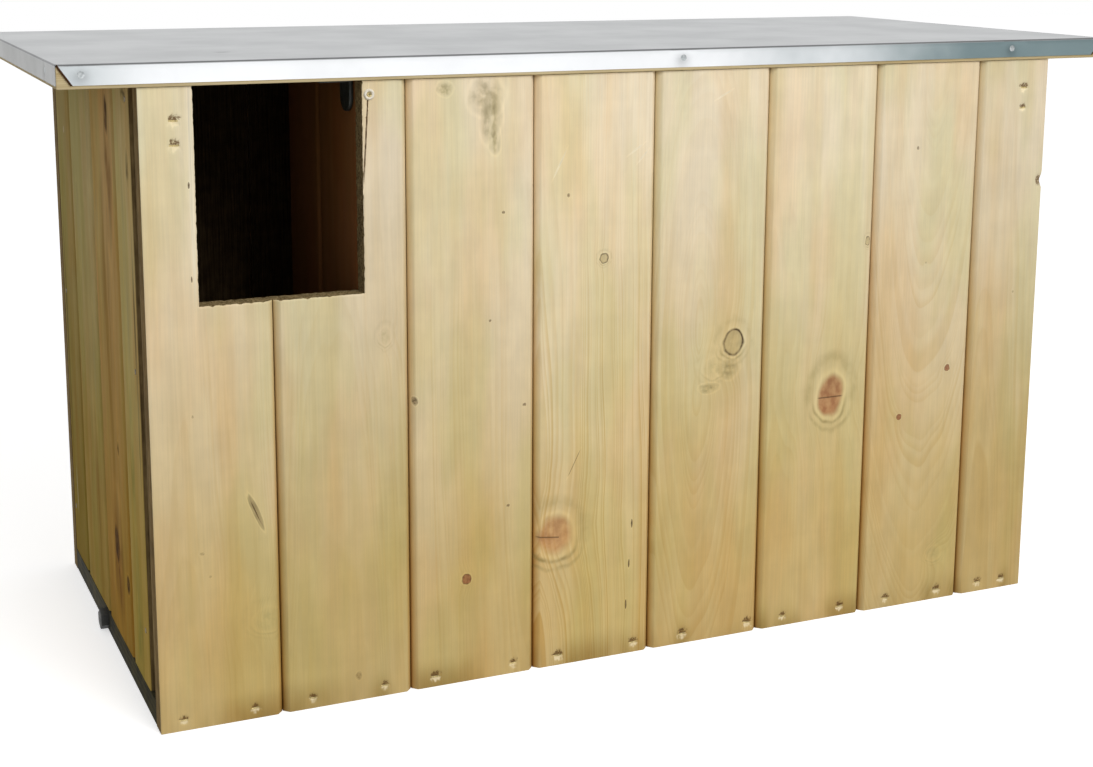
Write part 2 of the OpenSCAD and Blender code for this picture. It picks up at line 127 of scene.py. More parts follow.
# Marks on the front wall, with u from the left corner and z from the ground
FRONT_MARKS = (
    Mark("scar", 82.6, 177.6, 2.8, 16.5, 22),
    Mark("slit", 82.2, 178, 0.6, 10, 22),
    Mark("pale", 39.3, 440, 2, 92),
    Mark("swirl", 91, 84.7, 12, 10),
    Mark("dot", 38, 148, 2.2, 1.4),
    Mark("dot", 44, 128, 1.3, 1.3),
    Mark("dot", 34, 262, 1.2, 1.5),
    Mark("slit", 37, 446, 0.9, 3),
    Mark("slit", 36.9, 372, 0.7, 2.5),
    Mark("dot", 167, 22, 3, 4.2),
    Mark("slit", 179.7, 471.5, 0.9, 36, -3.7),
    Mark("swirl", 193.7, 313, 5, 7),
    Mark("pin", 219.5, 255, 2.6, 4),
    Mark("stain", 284, 506, 15, 16),
    Mark("stain", 287, 488, 10, 19),
    Mark("stain", 291, 470, 5, 13),
    Mark("stain", 247, 513, 7, 6),
    Mark("pin", 298.6, 409, 1.5, 1.5),
    Mark("pin", 286.5, 318, 1.4, 1.4),
    Mark("pin", 318, 242, 1.9, 1.6),
    Mark("pin", 303, 154, 1.7, 1.4),
    Mark("brown", 264.4, 93, 4.4, 4.6),
    Mark("pin", 358, 420, 1.5, 2),
    Mark("ringed", 391.7, 363.7, 4.2, 4.4),
    Mark("pale", 350, 447, 0.8, 14, -27),
    Mark("pale", 421, 456, 0.9, 10, -56),
    Mark("pale", 428, 450, 0.8, 8, -42),
    Mark("pale", 506, 500, 0.9, 9, -62),
    Mark("rosy", 347, 121, 17, 19, -7),
    Mark("line", 365, 184, 0.55, 14.5, -27),
    Mark("slit", 422, 121.5, 0.9, 4.5),
    Mark("slit", 419.6, 84.5, 0.9, 4),
    Mark("slit", 417, 46.6, 0.9, 5),
    Mark("ringed", 521.3, 278.4, 10.4, 12, -8),
    Mark("swirl", 501, 257, 10, 9),
    Mark("stain", 516, 254, 12, 9),
    Mark("stain", 497, 238, 10, 5),
    Mark("red", 625.6, 218.5, 14.5, 20),
    Mark("ringed", 660, 360.5, 2.6, 4.4),
    Mark("pin", 711, 444, 1.5, 2),
    Mark("dot", 725.6, 335.6, 1.2, 1.2),
    Mark("brown", 755.5, 231.6, 3, 3.4),
    Mark("brown", 702.6, 188.8, 2.8, 3),
    Mark("swirl", 749, 47, 8, 7),
    Mark("dot", 828, 300, 1.2, 1.6),
)
FRONT_CUTS = (
    Cut(20, 60, 0.02, 1.01, 0.6),
    Cut(150, 85, 0.03, 0.96, 0.6),
    Cut(330, 70, -0.02, 1.0, 0.8),
    Cut(300, 45, 0.04, 1.06, 2.3),
    Cut(486, -42, 0.16, 1.0, 0.9),
    Cut(560, 90, 0.02, 1.0, 0.6),
    Cut(728, 97, -0.17, 0.97, 1.0),
    Cut(800, 55, 0.03, 0.91, 0.9),
)
LEFT_MARKS = (
    Mark("amber", 238, 280, 22, 200),
    Mark("amber", 150, 90, 14, 120),
    Mark("rust", 270, 445, 17, 70),
    Mark("rust", 247, 95, 24, 62),
    Mark("hole", 271, 488, 7, 17),
    Mark("hole", 241, 107, 10, 18, 3),
    Mark("hole", 287, 84, 7.5, 9),
    Mark("pin", 264, 199, 3.4, 7),
    Mark("moss", 336, 70, 16, 70),
    Mark("moss", 330, 210, 9, 60),
    Mark("dirt", 357, 455, 6, 15),
    Mark("dirt", 352, 514, 14, 9),
    Mark("dirt", 364, 300, 4, 120),
    Mark("dirt", 10, 250, 7, 130),
    Mark("worn", 62, 400, 9, 46),
    Mark("worn", 105, 372, 13, 36),
    Mark("worn", 118, 320, 7, 40),
    Mark("worn", 206, 392, 7, 30),
    Mark("worn", 172, 470, 9, 60),
    Mark("worn", 160, 250, 10, 50),
    Mark("worn", 335, 360, 12, 110),
    Mark("pale", 42, 452, 2.2, 4),
    Mark("pale", 24, 92, 1.6, 26, 5),
)
# Tint of each side board, counted from the front: grey-green, brown, then olive
SIDE_TINTS = ((1.22, 1.24, 1.4), (1.12, 0.98, 0.97), (1.06, 1.09, 1.22), (0.84, 0.85, 0.8))
# The crack that runs down from the partition's screw
CRACK = Crack((182.0, 507.0), (177.4, 436.0), 0.55, 1.3)
# The splintered place on the right edge of the last board
EDGE_BITE = Bite(407.0, 7.0, 2.2)

# The roof sheet, in millimetres: its thickness, how far its long folds are trimmed at the foot,
# the dark rim of that cut, rust widened as painted shade, and the place of a dent in its top
SHEET_T = 0.8
FOLD_TRIM = 11.0
CUT_RIM = 1.5
TOP_DENT = (-340.5, -123.0)
# The nails in its folds: how long they are, and how deep their heads lie in the dimples
NAIL_LENGTH = 24.0
NAIL_SUNK = 0.75

# Black steel parts, in millimetres: thickness of the hinges' leaves and of the tongue, and the
# gap beside each knuckle
LEAF_T = 1.5
STRAP_T = 3.0
KNUCKLES = 5
KNUCKLE_GAP = 0.3
# Fixings, in millimetres: the radius of their shanks, and how far the staples' crowns lie in
NAIL_SHANK_R = 1.2
SCREW_SHANK_R = 1.4
HEX_SHANK_R = 4.0
STAPLE_SUNK = 0.25


def colour_setting(name, description, code):
    """A colour that a user may change; its default is an sRGB hex value."""
    return FloatVectorProperty(name=name, description=description, subtype="COLOR", size=3,
                               min=0, max=1, default=srgb(code))


def length_setting(name, description, default, low, high):
    """A length that a user may change, given in millimetres."""
    return FloatProperty(name=name, description=description, unit="LENGTH",
                         default=default * MM, min=low * MM, max=high * MM)


class NestBoxWood(bpy.types.PropertyGroup):
    """Colours and grain of the wood."""

    # The front boards' pale top and deep foot are partly their own tone and partly painted light from
    # above
    pale: colour_setting("Pale wood", "Front boards near the top", "ebdcc0")
    deep: colour_setting("Deep wood", "Front boards near the foot", "d1b77d")
    # The side boards are darker than the front partly in their own tone and partly as painted shade
    side_pale: colour_setting("Side wood", "Side boards near the top", "c9b57c")
    side_deep: colour_setting("Side wood, deep", "Side boards near the foot", "b6984b")
    inner: colour_setting("Inner wood", "Posts and partition inside the box", "8a5c38")
    ring_width: length_setting("Ring width", "Distance between two growth rings", 3.4, 0.5, 10)
    fibre_width: length_setting(
        "Fibre width", "Width of the finest streaks, drawn coarse enough to show", 1.4, 0.2, 5)


class NestBoxBoards(bpy.types.PropertyGroup):
    """How finely the boards are meshed and how worn they are."""

    fine_step: length_setting("Front mesh step", "Size of the front boards' faces", 2.6, 1, 20)
    coarse_step: length_setting("Other mesh step", "Size of the other boards' faces", 6, 2, 40)
    arris: length_setting("Arris", "Rounding of the boards' long edges", 0.7, 0.1, 2)
    wave: length_setting("Wave", "How much the planed faces dip", 0.3, 0, 1)
    chip: length_setting("Chips", "Size of the chips along the sawn entrance", 1.7, 0, 4)
    seed: IntProperty(name="Seed", description="Another set of random marks", default=7)


class NestBoxMetal(bpy.types.PropertyGroup):
    """Colours of the metal parts, and the folds of the sheet."""

    # Painted reflection and shade: the fold fades from bright to dull, the side folds are painted
    # greyer, the top is partly dulled zinc
    top: colour_setting("Sheet, top", "Dulled zinc on top of the lid", "b9bbbc")
    bright: colour_setting("Sheet, fold", "Bright zinc of the front fold", "f1f3f5")
    dull: colour_setting("Sheet, dull fold", "Blue-grey zinc at the fold's right end", "809295")
    side: colour_setting("Sheet, side folds", "Dull grey zinc of the lid's two ends", "a2a3a2")
    plated: colour_setting("Plated steel", "Staples and screws", "dcc890")
    black: colour_setting("Black paint", "Hinges, tongue and hex heads", "22251f")
    bend: length_setting("Fold radius", "Outer radius of the sheet's folds", 1.5, 0.8, 4)


class NestBoxStage(bpy.types.PropertyGroup):
    """Camera and lights."""

    camera_place: FloatVectorProperty(
        name="Camera", description="Where the camera stands",
        subtype="TRANSLATION", size=3, default=(-0.68270, -1.55672, 0.64317),
    )
    yaw: FloatProperty(
        name="Yaw", description="How far the camera looks to the right of +Y",
        subtype="ANGLE", default=math.radians(23.829),
    )
    pitch: FloatProperty(
        name="Pitch", description="How far the camera looks down",
        subtype="ANGLE", default=math.radians(10.799),
    )
    roll: FloatProperty(
        name="Roll", description="How far the picture is turned",
        subtype="ANGLE", default=math.radians(0.275),
    )
    lens: FloatProperty(
        name="Lens", description="Focal length for a sensor 36 mm wide",
        unit="CAMERA", default=58.272,
    )
    shift: FloatProperty(
        name="Shift", description="Vertical shift that keeps the uprights upright", default=-0.11,
    )
    key: FloatProperty(
        name="Key light", description="Power of the large soft lamp in front",
        unit="POWER", default=50,
    )
    fill: FloatProperty(
        name="Fill", description="Level of the light from all round", default=0.5,
    )


def corner_of(node, x, y):
    """A point on the ground under a node's corner: x and y are 0 for its low side, 1 for its high."""
    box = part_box(node)
    return Vector((box[x].x, box[y].y, 0))


WALLS = {
    "front": Wall(corner_of("front_board_1", 0, 0), 0.0),
    "back": Wall(corner_of("back_board_1", 1, 1), math.pi),
    "left": Wall(corner_of("left_board_4", 0, 1), -math.pi / 2),
    "right": Wall(corner_of("right_board_1", 1, 0), math.pi / 2),
    "partition": Wall(corner_of("partition_board_2", 0, 1), -math.pi / 2),
}


def wall_matrix(wall):
    """Turns the wall's own millimetres into the frame's metres."""
    turn = Matrix.Rotation(wall.turn, 4, "Z")
    return Matrix.Translation(wall.corner) @ turn @ Matrix.Scale(MM, 4)


def box_in_wall(node, wall):
    """A node's lowest and highest corner in the wall's own millimetres."""
    inverse = wall_matrix(wall).inverted()
    a, b = (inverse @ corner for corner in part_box(node))
    return Vector(map(min, a, b)), Vector(map(max, a, b))


def solids_of(node):
    """The box of each separate solid in a node, in metres, ordered by place."""
    bm = bmesh.new()
    bm.from_mesh(frame["nodes"][node].data)
    bmesh.ops.remove_doubles(bm, verts=bm.verts, dist=0.01 * MM)
    left = set(bm.verts)
    found = []
    while left:
        group, waiting = set(), [left.pop()]
        while waiting:
            vert = waiting.pop()
            group.add(vert)
            near = {e.other_vert(vert) for e in vert.link_edges} & left
            left -= near
            waiting.extend(near)
        low = Vector(min(v.co[i] for v in group) for i in range(3))
        high = Vector(max(v.co[i] for v in group) for i in range(3))
        found.append((low, high))
    bm.free()
    return sorted(found, key=lambda box: tuple(round(c, 4) for c in box[0]))


def settings(group):
    """One group of settings: wood, boards, metal or stage."""
    return getattr(bpy.context.scene, f"nest_box_{group}")


def keep_mesh(bm, name, materials, matrix=None, smooth=35):
    """Makes an object of a bmesh, its place in its mesh, smooth but for edges over an angle."""
    if matrix is not None:
        bmesh.ops.transform(bm, matrix=matrix, verts=bm.verts)
    bmesh.ops.recalc_face_normals(bm, faces=bm.faces)
    for face in bm.faces:
        face.smooth = True
    mesh = bpy.data.meshes.new(name)
    bm.to_mesh(mesh)
    bm.free()
    mesh.set_sharp_from_angle(angle=math.radians(smooth))
    for material in materials:
        mesh.materials.append(material)
    piece = bpy.data.objects.new(name, mesh)
    bpy.context.scene.collection.objects.link(piece)
    return piece


def stand_for(piece, body, slot, *nodes):
    """The piece rides on its body and stands for CAD nodes; its slot is not used."""
    if not piece.data.polygons:
        raise RuntimeError(f"{piece.name} has no faces")
    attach(piece, body)
    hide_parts(*nodes)


def cut(piece, cutter, crossed=False):
    """Cuts the cutter out of the piece; the cut faces take the cutter's material. A cutter
    made of blocks that cross each other is crossed."""
    modifier = piece.modifiers.new("cut", "BOOLEAN")
    modifier.operation = "DIFFERENCE"
    modifier.solver = "EXACT"
    modifier.material_mode = "TRANSFER"
    modifier.use_self = crossed
    modifier.object = cutter
    graph = bpy.context.evaluated_depsgraph_get()
    done = bpy.data.meshes.new_from_object(piece.evaluated_get(graph))
    piece.modifiers.clear()
    piece.data = done


def only(kind, items):
    """The vertices, edges or faces out of what a bmesh operator gives."""
    return [item for item in items if isinstance(item, kind)]


def block(bm, low, high):
    """Adds a box between two corners and gives its vertices."""
    verts = bmesh.ops.create_cube(bm, size=1.0)["verts"]
    bmesh.ops.scale(bm, vec=high - low, verts=verts)
    bmesh.ops.translate(bm, vec=(low + high) / 2, verts=verts)
    return verts


def rod(bm, radius, length, segments, matrix):
    """Adds a closed cylinder, or a prism of few segments, along the matrix's own Z axis."""
    verts = bmesh.ops.create_cone(bm, cap_ends=True, segments=segments, radius1=radius,
                                  radius2=radius, depth=length)["verts"]
    bmesh.ops.transform(bm, matrix=matrix, verts=verts)


def round_edges(bm, edges, width, segments=2):
    """Rounds some edges of a bmesh."""
    bmesh.ops.bevel(bm, geom=edges, offset=width, segments=segments, affect="EDGES",
                    profile=0.5, material=-1)


def round_rims(bm, width):
    """Rounds every edge that is sharper than 60 degrees."""
    rims = [e for e in bm.edges if e.is_manifold and e.calc_face_angle() > math.radians(60)]
    round_edges(bm, rims, width)


# Materials

# Settings that many nodes share
SMOOTH = {"interpolation_type": "SMOOTHSTEP"}
TIMES = {"operation": "MULTIPLY"}
TIMES_PLUS = {"operation": "MULTIPLY_ADD"}
SCALED = {"operation": "SCALE"}
MIXED = {"data_type": "RGBA"}
TINTED = {"data_type": "RGBA", "blend_type": "MULTIPLY"}


def add(tree, kind, feeds=(), **options):
    """Adds a node: feeds gives its inputs values, nodes or sockets, in order or by name, and
    options its settings. A node as a feed stands for its first output in use."""
    node = tree.nodes.new(kind if kind.startswith("Node") else "ShaderNode" + kind)
    for name, value in options.items():
        setattr(node, name, value)
    live = [s for s in node.inputs if s.enabled]
    feeds = feeds if isinstance(feeds, dict) else dict(enumerate(feeds))
    for key, value in feeds.items():
        target = live[key] if isinstance(key, int) else next(s for s in live if s.name == key)
        if isinstance(value, bpy.types.Node):
            value = next(s for s in value.outputs if s.enabled)
        if isinstance(value, bpy.types.NodeSocket):
            tree.links.new(value, target)
        elif target.type == "RGBA" and len(value) == 3:
            target.default_value = (*value, 1)
        else:
            target.default_value = value
    return node


def new_group(name, takes, gives):
    """A node group with its inputs and outputs, and the sockets of what it takes."""
    tree = bpy.data.node_groups.new(name, "ShaderNodeTree")
    for way, titles in (("INPUT", takes), ("OUTPUT", gives)):
        for title, kind in titles:
            tree.interface.new_socket(title, in_out=way, socket_type="NodeSocket" + kind)
    return tree, add(tree, "NodeGroupInput").outputs


def new_material(name):
    """An empty material and its nodes."""
    material = bpy.data.materials.new(name)
    material.use_nodes = True
    material.node_tree.nodes.clear()
    return material, material.node_tree


def ring_group(ring_mm):
    """Growth rings of a log whose pith runs beside the board, in millimetres."""
    tree, take = new_group(
        "growth rings",
        (("Place", "Vector"), ("Shifted", "Vector"), ("Pith", "Vector"), ("Push", "Float")),
        (("Ring", "Float"),),
    )
    broad = add(tree, "VectorMath", (take["Shifted"], (1 / 55, 1 / 55, 1 / 420)), **TIMES)
    sway = add(tree, "TexNoise", {"Vector": broad, "Scale": 1.0, "Detail": 2.0})
    swayed = add(tree, "VectorMath", (sway.outputs["Color"], (22, 16, 0), (-11, -8, 0)),
                 **TIMES_PLUS)
    at = add(tree, "SeparateXYZ", (add(tree, "VectorMath", (take["Place"], swayed)),)).outputs
    pith = add(tree, "SeparateXYZ", (take["Pith"],)).outputs
    across = add(tree, "Math", (at["X"], pith["X"]), operation="SUBTRACT")
    drift = add(tree, "Math", (at["Z"], pith["Z"], pith["Y"]), **TIMES_PLUS)
    depth = add(tree, "Math", (at["Y"], drift))
    radius = add(tree, "VectorMath", (add(tree, "CombineXYZ", (across, depth)),),
                 operation="LENGTH")
    pushed = add(tree, "Math", (radius, take["Push"]))
    uneven = add(tree, "TexNoise", {"W": pushed, "Scale": 0.06, "Detail": 2.0},
                 noise_dimensions="1D")
    stretched = add(tree, "Math", (uneven, 26.0, pushed), **TIMES_PLUS)
    count = add(tree, "Math", (stretched, ring_mm), operation="DIVIDE")
    share = add(tree, "Math", (count,), operation="FRACT")
    rise = add(tree, "MapRange", (share, 0.15, 0.9), **SMOOTH)
    shape = add(tree, "MapRange", (share, 0.9, 1.0, rise, 0.0), **SMOOTH)
    whole = add(tree, "Math", (count,), operation="FLOOR")
    tone = add(tree, "TexWhiteNoise", (whole,), noise_dimensions="1D")
    strength = add(tree, "Math", (tone, 0.75, 0.25), **TIMES_PLUS)
    add(tree, "NodeGroupOutput", (add(tree, "Math", (shape, strength), **TIMES),))
    return tree


def knot_place_group():
    """How far a point lies from a knot's middle, in knots, how it pushes the grain aside, and
    a blotchy pattern of its own."""
    tree, take = new_group(
        "knot place",
        (("Place", "Vector"), ("Centre", "Vector"), ("Size", "Vector"), ("Tilt", "Float"),
         ("Amount", "Float")),
        (("Distance", "Float"), ("Push", "Float"), ("Inside", "Vector"), ("Blotch", "Float")),
    )
    apart = add(tree, "VectorMath", (take["Place"], take["Centre"]), operation="SUBTRACT")
    turned = add(tree, "VectorRotate", {"Vector": apart, "Angle": take["Tilt"]},
                 rotation_type="Y_AXIS")
    inside = add(tree, "VectorMath", (turned, take["Size"]), operation="DIVIDE")
    own = add(tree, "VectorMath", (inside, take["Centre"]))
    coarse = add(tree, "TexNoise", {"Vector": own, "Scale": 0.8, "Detail": 1.0})
    ragged = add(tree, "VectorMath", (coarse.outputs["Color"], (0.7, 0, 0.7),
                                      (-0.35, 0, -0.35)), **TIMES_PLUS)
    far = add(tree, "VectorMath", (add(tree, "VectorMath", (inside, ragged)),),
              operation="LENGTH")
    spread = add(tree, "Math", (add(tree, "Math", (far, far), **TIMES), -0.16), **TIMES)
    bell = add(tree, "Math", (spread,), operation="EXPONENT")
    push = add(tree, "Math", (bell, take["Amount"]), **TIMES)
    blotch = add(tree, "TexNoise", {"Vector": own, "Scale": 1.6, "Detail": 3.0})
    add(tree, "NodeGroupOutput", (far, push, inside, blotch))
    return tree


def knot_face_group():
    """Draws one knot over the wood: a blotched core, pale halo, olive arcs, dark rim, crack."""
    tree, take = new_group(
        "knot face",
        (("Colour", "Color"), ("Height", "Float"), ("Distance", "Float"), ("Inside", "Vector"),
         ("Blotch", "Float"), ("Ink", "Color"), ("Share", "Float"), ("Rim", "Float"),
         ("Soft", "Float"), ("Crack", "Float"), ("Arc", "Float")),
        (("Colour", "Color"), ("Height", "Float")),
    )
    far = take["Distance"]
    at = add(tree, "SeparateXYZ", (take["Inside"],)).outputs
    blotch = add(tree, "MapRange", (take["Blotch"], 0.38, 0.62))
    # Each ring round the knot fades from its middle distance to its first and last
    rings = []
    for first, middle, last in ((0.9, 1.12, 1.35), (1.18, 1.34, 1.5), (1.6, 1.75, 1.95),
                                (1.3, 1.7, 2.2), (0.74, 0.93, 1.12)):
        rise = add(tree, "MapRange", (far, first, middle), **SMOOTH)
        rings.append(add(tree, "MapRange", (far, middle, last, rise, 0.0), **SMOOTH))
    halo, near_arc, far_arc, high_arc, rim = rings
    below = add(tree, "MapRange", (at["Z"], -1.2, 0.1, 1.0, 0.0), **SMOOTH)
    above = add(tree, "Math", (0.4, below), operation="SUBTRACT", use_clamp=True)
    pale = add(tree, "Math", (halo, take["Share"]), **TIMES)
    lighter = add(tree, "VectorMath", (take["Colour"], 1.12), **SCALED)
    ground = add(tree, "Mix", (pale, take["Colour"], lighter), **MIXED)
    low_arcs = add(tree, "Math", (far_arc, 0.5, near_arc), **TIMES_PLUS)
    low_part = add(tree, "Math", (low_arcs, below), **TIMES)
    arcs = add(tree, "Math", (high_arc, above, low_part), **TIMES_PLUS)
    gaps = add(tree, "MapRange", (blotch, 0.0, 1.0, 0.25, 0.75))
    broken = add(tree, "Math", (arcs, gaps), **TIMES)
    arc_share = add(tree, "Math", (broken, take["Arc"]), **TIMES)
    arched = add(tree, "Mix", (arc_share, ground, srgb("8a7844")), **MIXED)
    inner_edge = add(tree, "Math", (1.0, take["Soft"]), operation="SUBTRACT")
    outer_edge = add(tree, "Math", (take["Soft"], 0.35, 1.0), **TIMES_PLUS)
    ragged = add(tree, "Mix", (take["Soft"], 1.0, blotch))
    part = add(tree, "Math", (ragged, take["Share"]), **TIMES)
    share = add(tree, "MapRange", (far, inner_edge, outer_edge, part, 0.0), **SMOOTH)
    deep = add(tree, "MapRange", (at["Z"], -1.0, 0.6, 1.12, 0.86))
    mottled = add(tree, "MapRange", (blotch, 0.0, 1.0, 1.15, 0.8))
    shade = add(tree, "Math", (deep, mottled), **TIMES)
    ink = add(tree, "VectorMath", (take["Ink"], shade), **SCALED)
    face = add(tree, "Mix", (share, arched, ink), **MIXED)
    # The crack runs level just under the middle, from the left as far as its share says
    off = add(tree, "Math", (add(tree, "Math", (at["Z"], 0.1)),), operation="ABSOLUTE")
    short = add(tree, "MapRange", (far, 0.8, 1.02, 0.85, 0.0))
    thin = add(tree, "MapRange", (off, 0.0, 0.05, short, 0.0))
    end = add(tree, "Math", (take["Crack"], 2.2, -1.2), **TIMES_PLUS)
    kept = add(tree, "Math", (at["X"], end), operation="LESS_THAN")
    crack = add(tree, "Math", (thin, kept), **TIMES)
    uneven = add(tree, "MapRange", (blotch, 0.0, 1.0, 0.5, 1.0))
    rim_part = add(tree, "Math", (rim, add(tree, "Math", (uneven, take["Rim"]), **TIMES)),
                   **TIMES)
    dark = add(tree, "Math", (rim_part, crack), operation="MAXIMUM")
    drawn = add(tree, "Mix", (dark, face, srgb("3d2a14")), **MIXED)
    sunk = add(tree, "Math", (dark, -1.2, take["Height"]), **TIMES_PLUS)
    add(tree, "NodeGroupOutput", (drawn, sunk))
    return tree


def shared_group(name, make, *values):
    """A node group that is made once and used by every material that needs it."""
    return bpy.data.node_groups.get(name) or make(*values)


def place_marks(tree, place, marks):
    """A knot place node for each mark, and the push of them all on the grain."""
    push, spots = 0.0, []
    for mark in marks:
        amount = KINDS[mark.kind].push * mark.wide
        spots.append(add(tree, "Group", {
            "Place": place, "Centre": (mark.u, 0, mark.z), "Size": (mark.wide, 1000, mark.tall),
            "Tilt": math.radians(mark.tilt), "Amount": amount,
        }, node_tree=shared_group("knot place", knot_place_group)))
        if amount:
            push = add(tree, "Math", (push, spots[-1].outputs["Push"]))
    return spots, push


def draw_marks(tree, marks, spots, colour, height):
    """Draws each mark over the wood in turn; gives the last colour and height."""
    for mark, spot in zip(marks, spots):
        kind = KINDS[mark.kind]
        face = add(tree, "Group", {
            "Colour": colour, "Height": height, "Distance": spot.outputs["Distance"],
            "Inside": spot.outputs["Inside"], "Blotch": spot.outputs["Blotch"],
            "Ink": kind.ink, "Share": kind.share, "Rim": kind.rim, "Soft": kind.soft,
            "Crack": kind.crack, "Arc": kind.arc,
        }, node_tree=shared_group("knot face", knot_face_group))
        colour, height = face.outputs["Colour"], face.outputs["Height"]
    return colour, height


def spruce(name, wall, cut_of, wood, marks=(), shift=(0, 0, 0)):
    """Planed, pressure-treated spruce: pale with greenish and rosy patches, fine lengthwise
    grain, a satin face, brown stain in its bevels, torn wood where it is worn, and painted
    shade and a painted highlight in the staples' hollows."""
    looks = settings("wood")
    material, tree = new_material(name)
    place = add(tree, "Mapping", {
        "Vector": add(tree, "TexCoord").outputs["Object"],
        "Location": Matrix.Rotation(-wall.turn, 3, "Z") @ wall.corner / -MM,
        "Rotation": (0, 0, -wall.turn),
        "Scale": (1 / MM, 1 / MM, 1 / MM),
    })
    shifted = add(tree, "VectorMath", (place, shift))
    at = add(tree, "SeparateXYZ", (place,)).outputs
    fine = looks.fibre_width / MM
    # Width and height of each noise's spots in millimetres, and its detail
    sizes = {
        "fibre": (fine, 45 * fine, 4.0), "broad": (55, 240, 3.0), "band": (11, 500, 2.0),
        "chatter": (110, 9, 4.0), "mottle": (15, 38, 4.0), "cloud": (60, 45, 3.0),
    }
    grain = {}
    for title, (wide, tall, detail) in sizes.items():
        scaled = add(tree, "VectorMath", (shifted, (1 / wide, 1 / wide, 1 / tall)), **TIMES)
        spots = add(tree, "TexNoise", {"Vector": scaled, "Scale": 1.0, "Detail": detail})
        grain[title] = add(tree, "SeparateColor", (spots.outputs["Color"],)).outputs
    knots, push = place_marks(tree, place, marks)
    rings = add(tree, "Group", {
        "Place": place, "Shifted": shifted, "Pith": (cut_of.u, cut_of.d, cut_of.drift),
        "Push": push,
    }, node_tree=shared_group("growth rings", ring_group, looks.ring_width / MM))
    # Paler towards the top and deeper towards the foot: partly the wood's own tone, partly painted
    # light from above
    height = add(tree, "MapRange", (at["Z"], 30.0, 520.0), **SMOOTH)
    patchy = add(tree, "Math", (grain["broad"]["Blue"], 0.6, height), **TIMES_PLUS)
    level = add(tree, "Math", (patchy, 0.3), operation="SUBTRACT", use_clamp=True)
    colour = add(tree, "Mix", (level, wood.foot, wood.top), **MIXED)
    # Greenish patches, rosy patches and brown bands
    for value, low, high, share, ink in (
        (grain["broad"]["Red"], 0.42, 0.62, 1.0, (0.91, 0.965, 0.85)),
        (grain["broad"]["Green"], 0.45, 0.64, 1.0, (0.99, 0.91, 0.82)),
        (grain["band"]["Red"], 0.4, 0.7, 0.45, (0.90, 0.83, 0.68)),
    ):
        part = add(tree, "MapRange", (value, low, high, 0.0, share * wood.patches), **SMOOTH)
        colour = add(tree, "Mix", (part, colour, ink), **TINTED)
    # Light has bleached the rings towards the top
    strong = 0.45 * cut_of.rings
    bleached = add(tree, "MapRange", (level, 0.35, 0.95, strong, 0.3 * strong), **SMOOTH)
    ring_share = add(tree, "Math", (rings, bleached), **TIMES)
    colour = add(tree, "Mix", (ring_share, colour, (0.84, 0.72, 0.50)), **TINTED)
    # Fine fibres, mottling, soft clouds, and the planer's faint bars across the board
    tone = cut_of.tone
    for value, dark, light in (
        (grain["fibre"]["Red"], 0.965, 1.025), (grain["mottle"]["Green"], 0.955, 1.035),
        (grain["cloud"]["Red"], 0.975, 1.015), (grain["chatter"]["Red"], 0.988, 1.006),
    ):
        part = add(tree, "MapRange", (value, 0.3, 0.7, dark, light), **SMOOTH)
        tone = add(tree, "Math", (tone, part), **TIMES)
    colour = add(tree, "VectorMath", (colour, tone), **SCALED)
    # Brown stain in the bevels and darker in the joint, both strongest near the foot, and
    # splashed dirt along the foot
    low = add(tree, "MapRange", (at["Z"], 0.0, 480.0, 0.85, 0.25), **SMOOTH)
    splash = add(tree, "MapRange", (at["Z"], 0.0, 30.0, 0.9, 0.0), **SMOOTH)
    for value, first, last, share, ink in (
        (at["Y"], 0.6, 5.0, low, (0.80, 0.63, 0.38)),
        (at["Y"], 3.6, 5.4, low, (0.50, 0.37, 0.22)),
        (grain["broad"]["Red"], 0.4, 0.6, splash, (0.62, 0.54, 0.40)),
    ):
        part = add(tree, "MapRange", (value, first, last, 0.0, share), **SMOOTH)
        colour = add(tree, "Mix", (part, colour, ink), **TINTED)
    rise = add(tree, "Math", (rings, 0.5, grain["fibre"]["Red"]), **TIMES_PLUS)
    colour, rise = draw_marks(tree, marks, knots, colour, rise)
    # Torn wood is dark with dirt; a staple's hollow is darkened on its upper side, as dirt and
    # painted shade, and made pale on its lower side as a painted highlight
    worn = add(tree, "Attribute", attribute_name="wear_and_painted_light").outputs["Fac"]
    flecks = add(tree, "TexNoise", {"Vector": place, "Scale": 0.9, "Detail": 2.0})
    fleck = add(tree, "MapRange", (flecks, 0.35, 0.6, 0.45, 1.25), **SMOOTH)
    torn = add(tree, "Math", (worn, fleck), **TIMES)
    dark = add(tree, "MapRange", (torn, 0.12, 0.75, 0.0, 0.88), **SMOOTH)
    colour = add(tree, "Mix", (dark, colour, srgb("5e3f18")), **MIXED)
    painted_highlight = add(tree, "MapRange", (worn, -0.15, -0.8, 0.0, 0.75), **SMOOTH)
    colour = add(tree, "Mix", (painted_highlight, colour, srgb("f6e6bf")), **MIXED)
    rough = add(tree, "MapRange", (grain["fibre"]["Red"], 0.3, 0.7, wood.rough,
                                   wood.rough + 0.15), **SMOOTH)
    # Unplaned wood has next to no shine of its own
    shader = add(tree, "BsdfPrincipled", {
        "Base Color": colour, "Roughness": rough,
        "Specular IOR Level": 0.3 if wood.rough < 0.6 else 0.05,
        "Normal": add(tree, "Bump", {"Height": rise, "Strength": 0.35, "Distance": 0.12 * MM}),
    })
    add(tree, "OutputMaterial", (shader,))
    return material


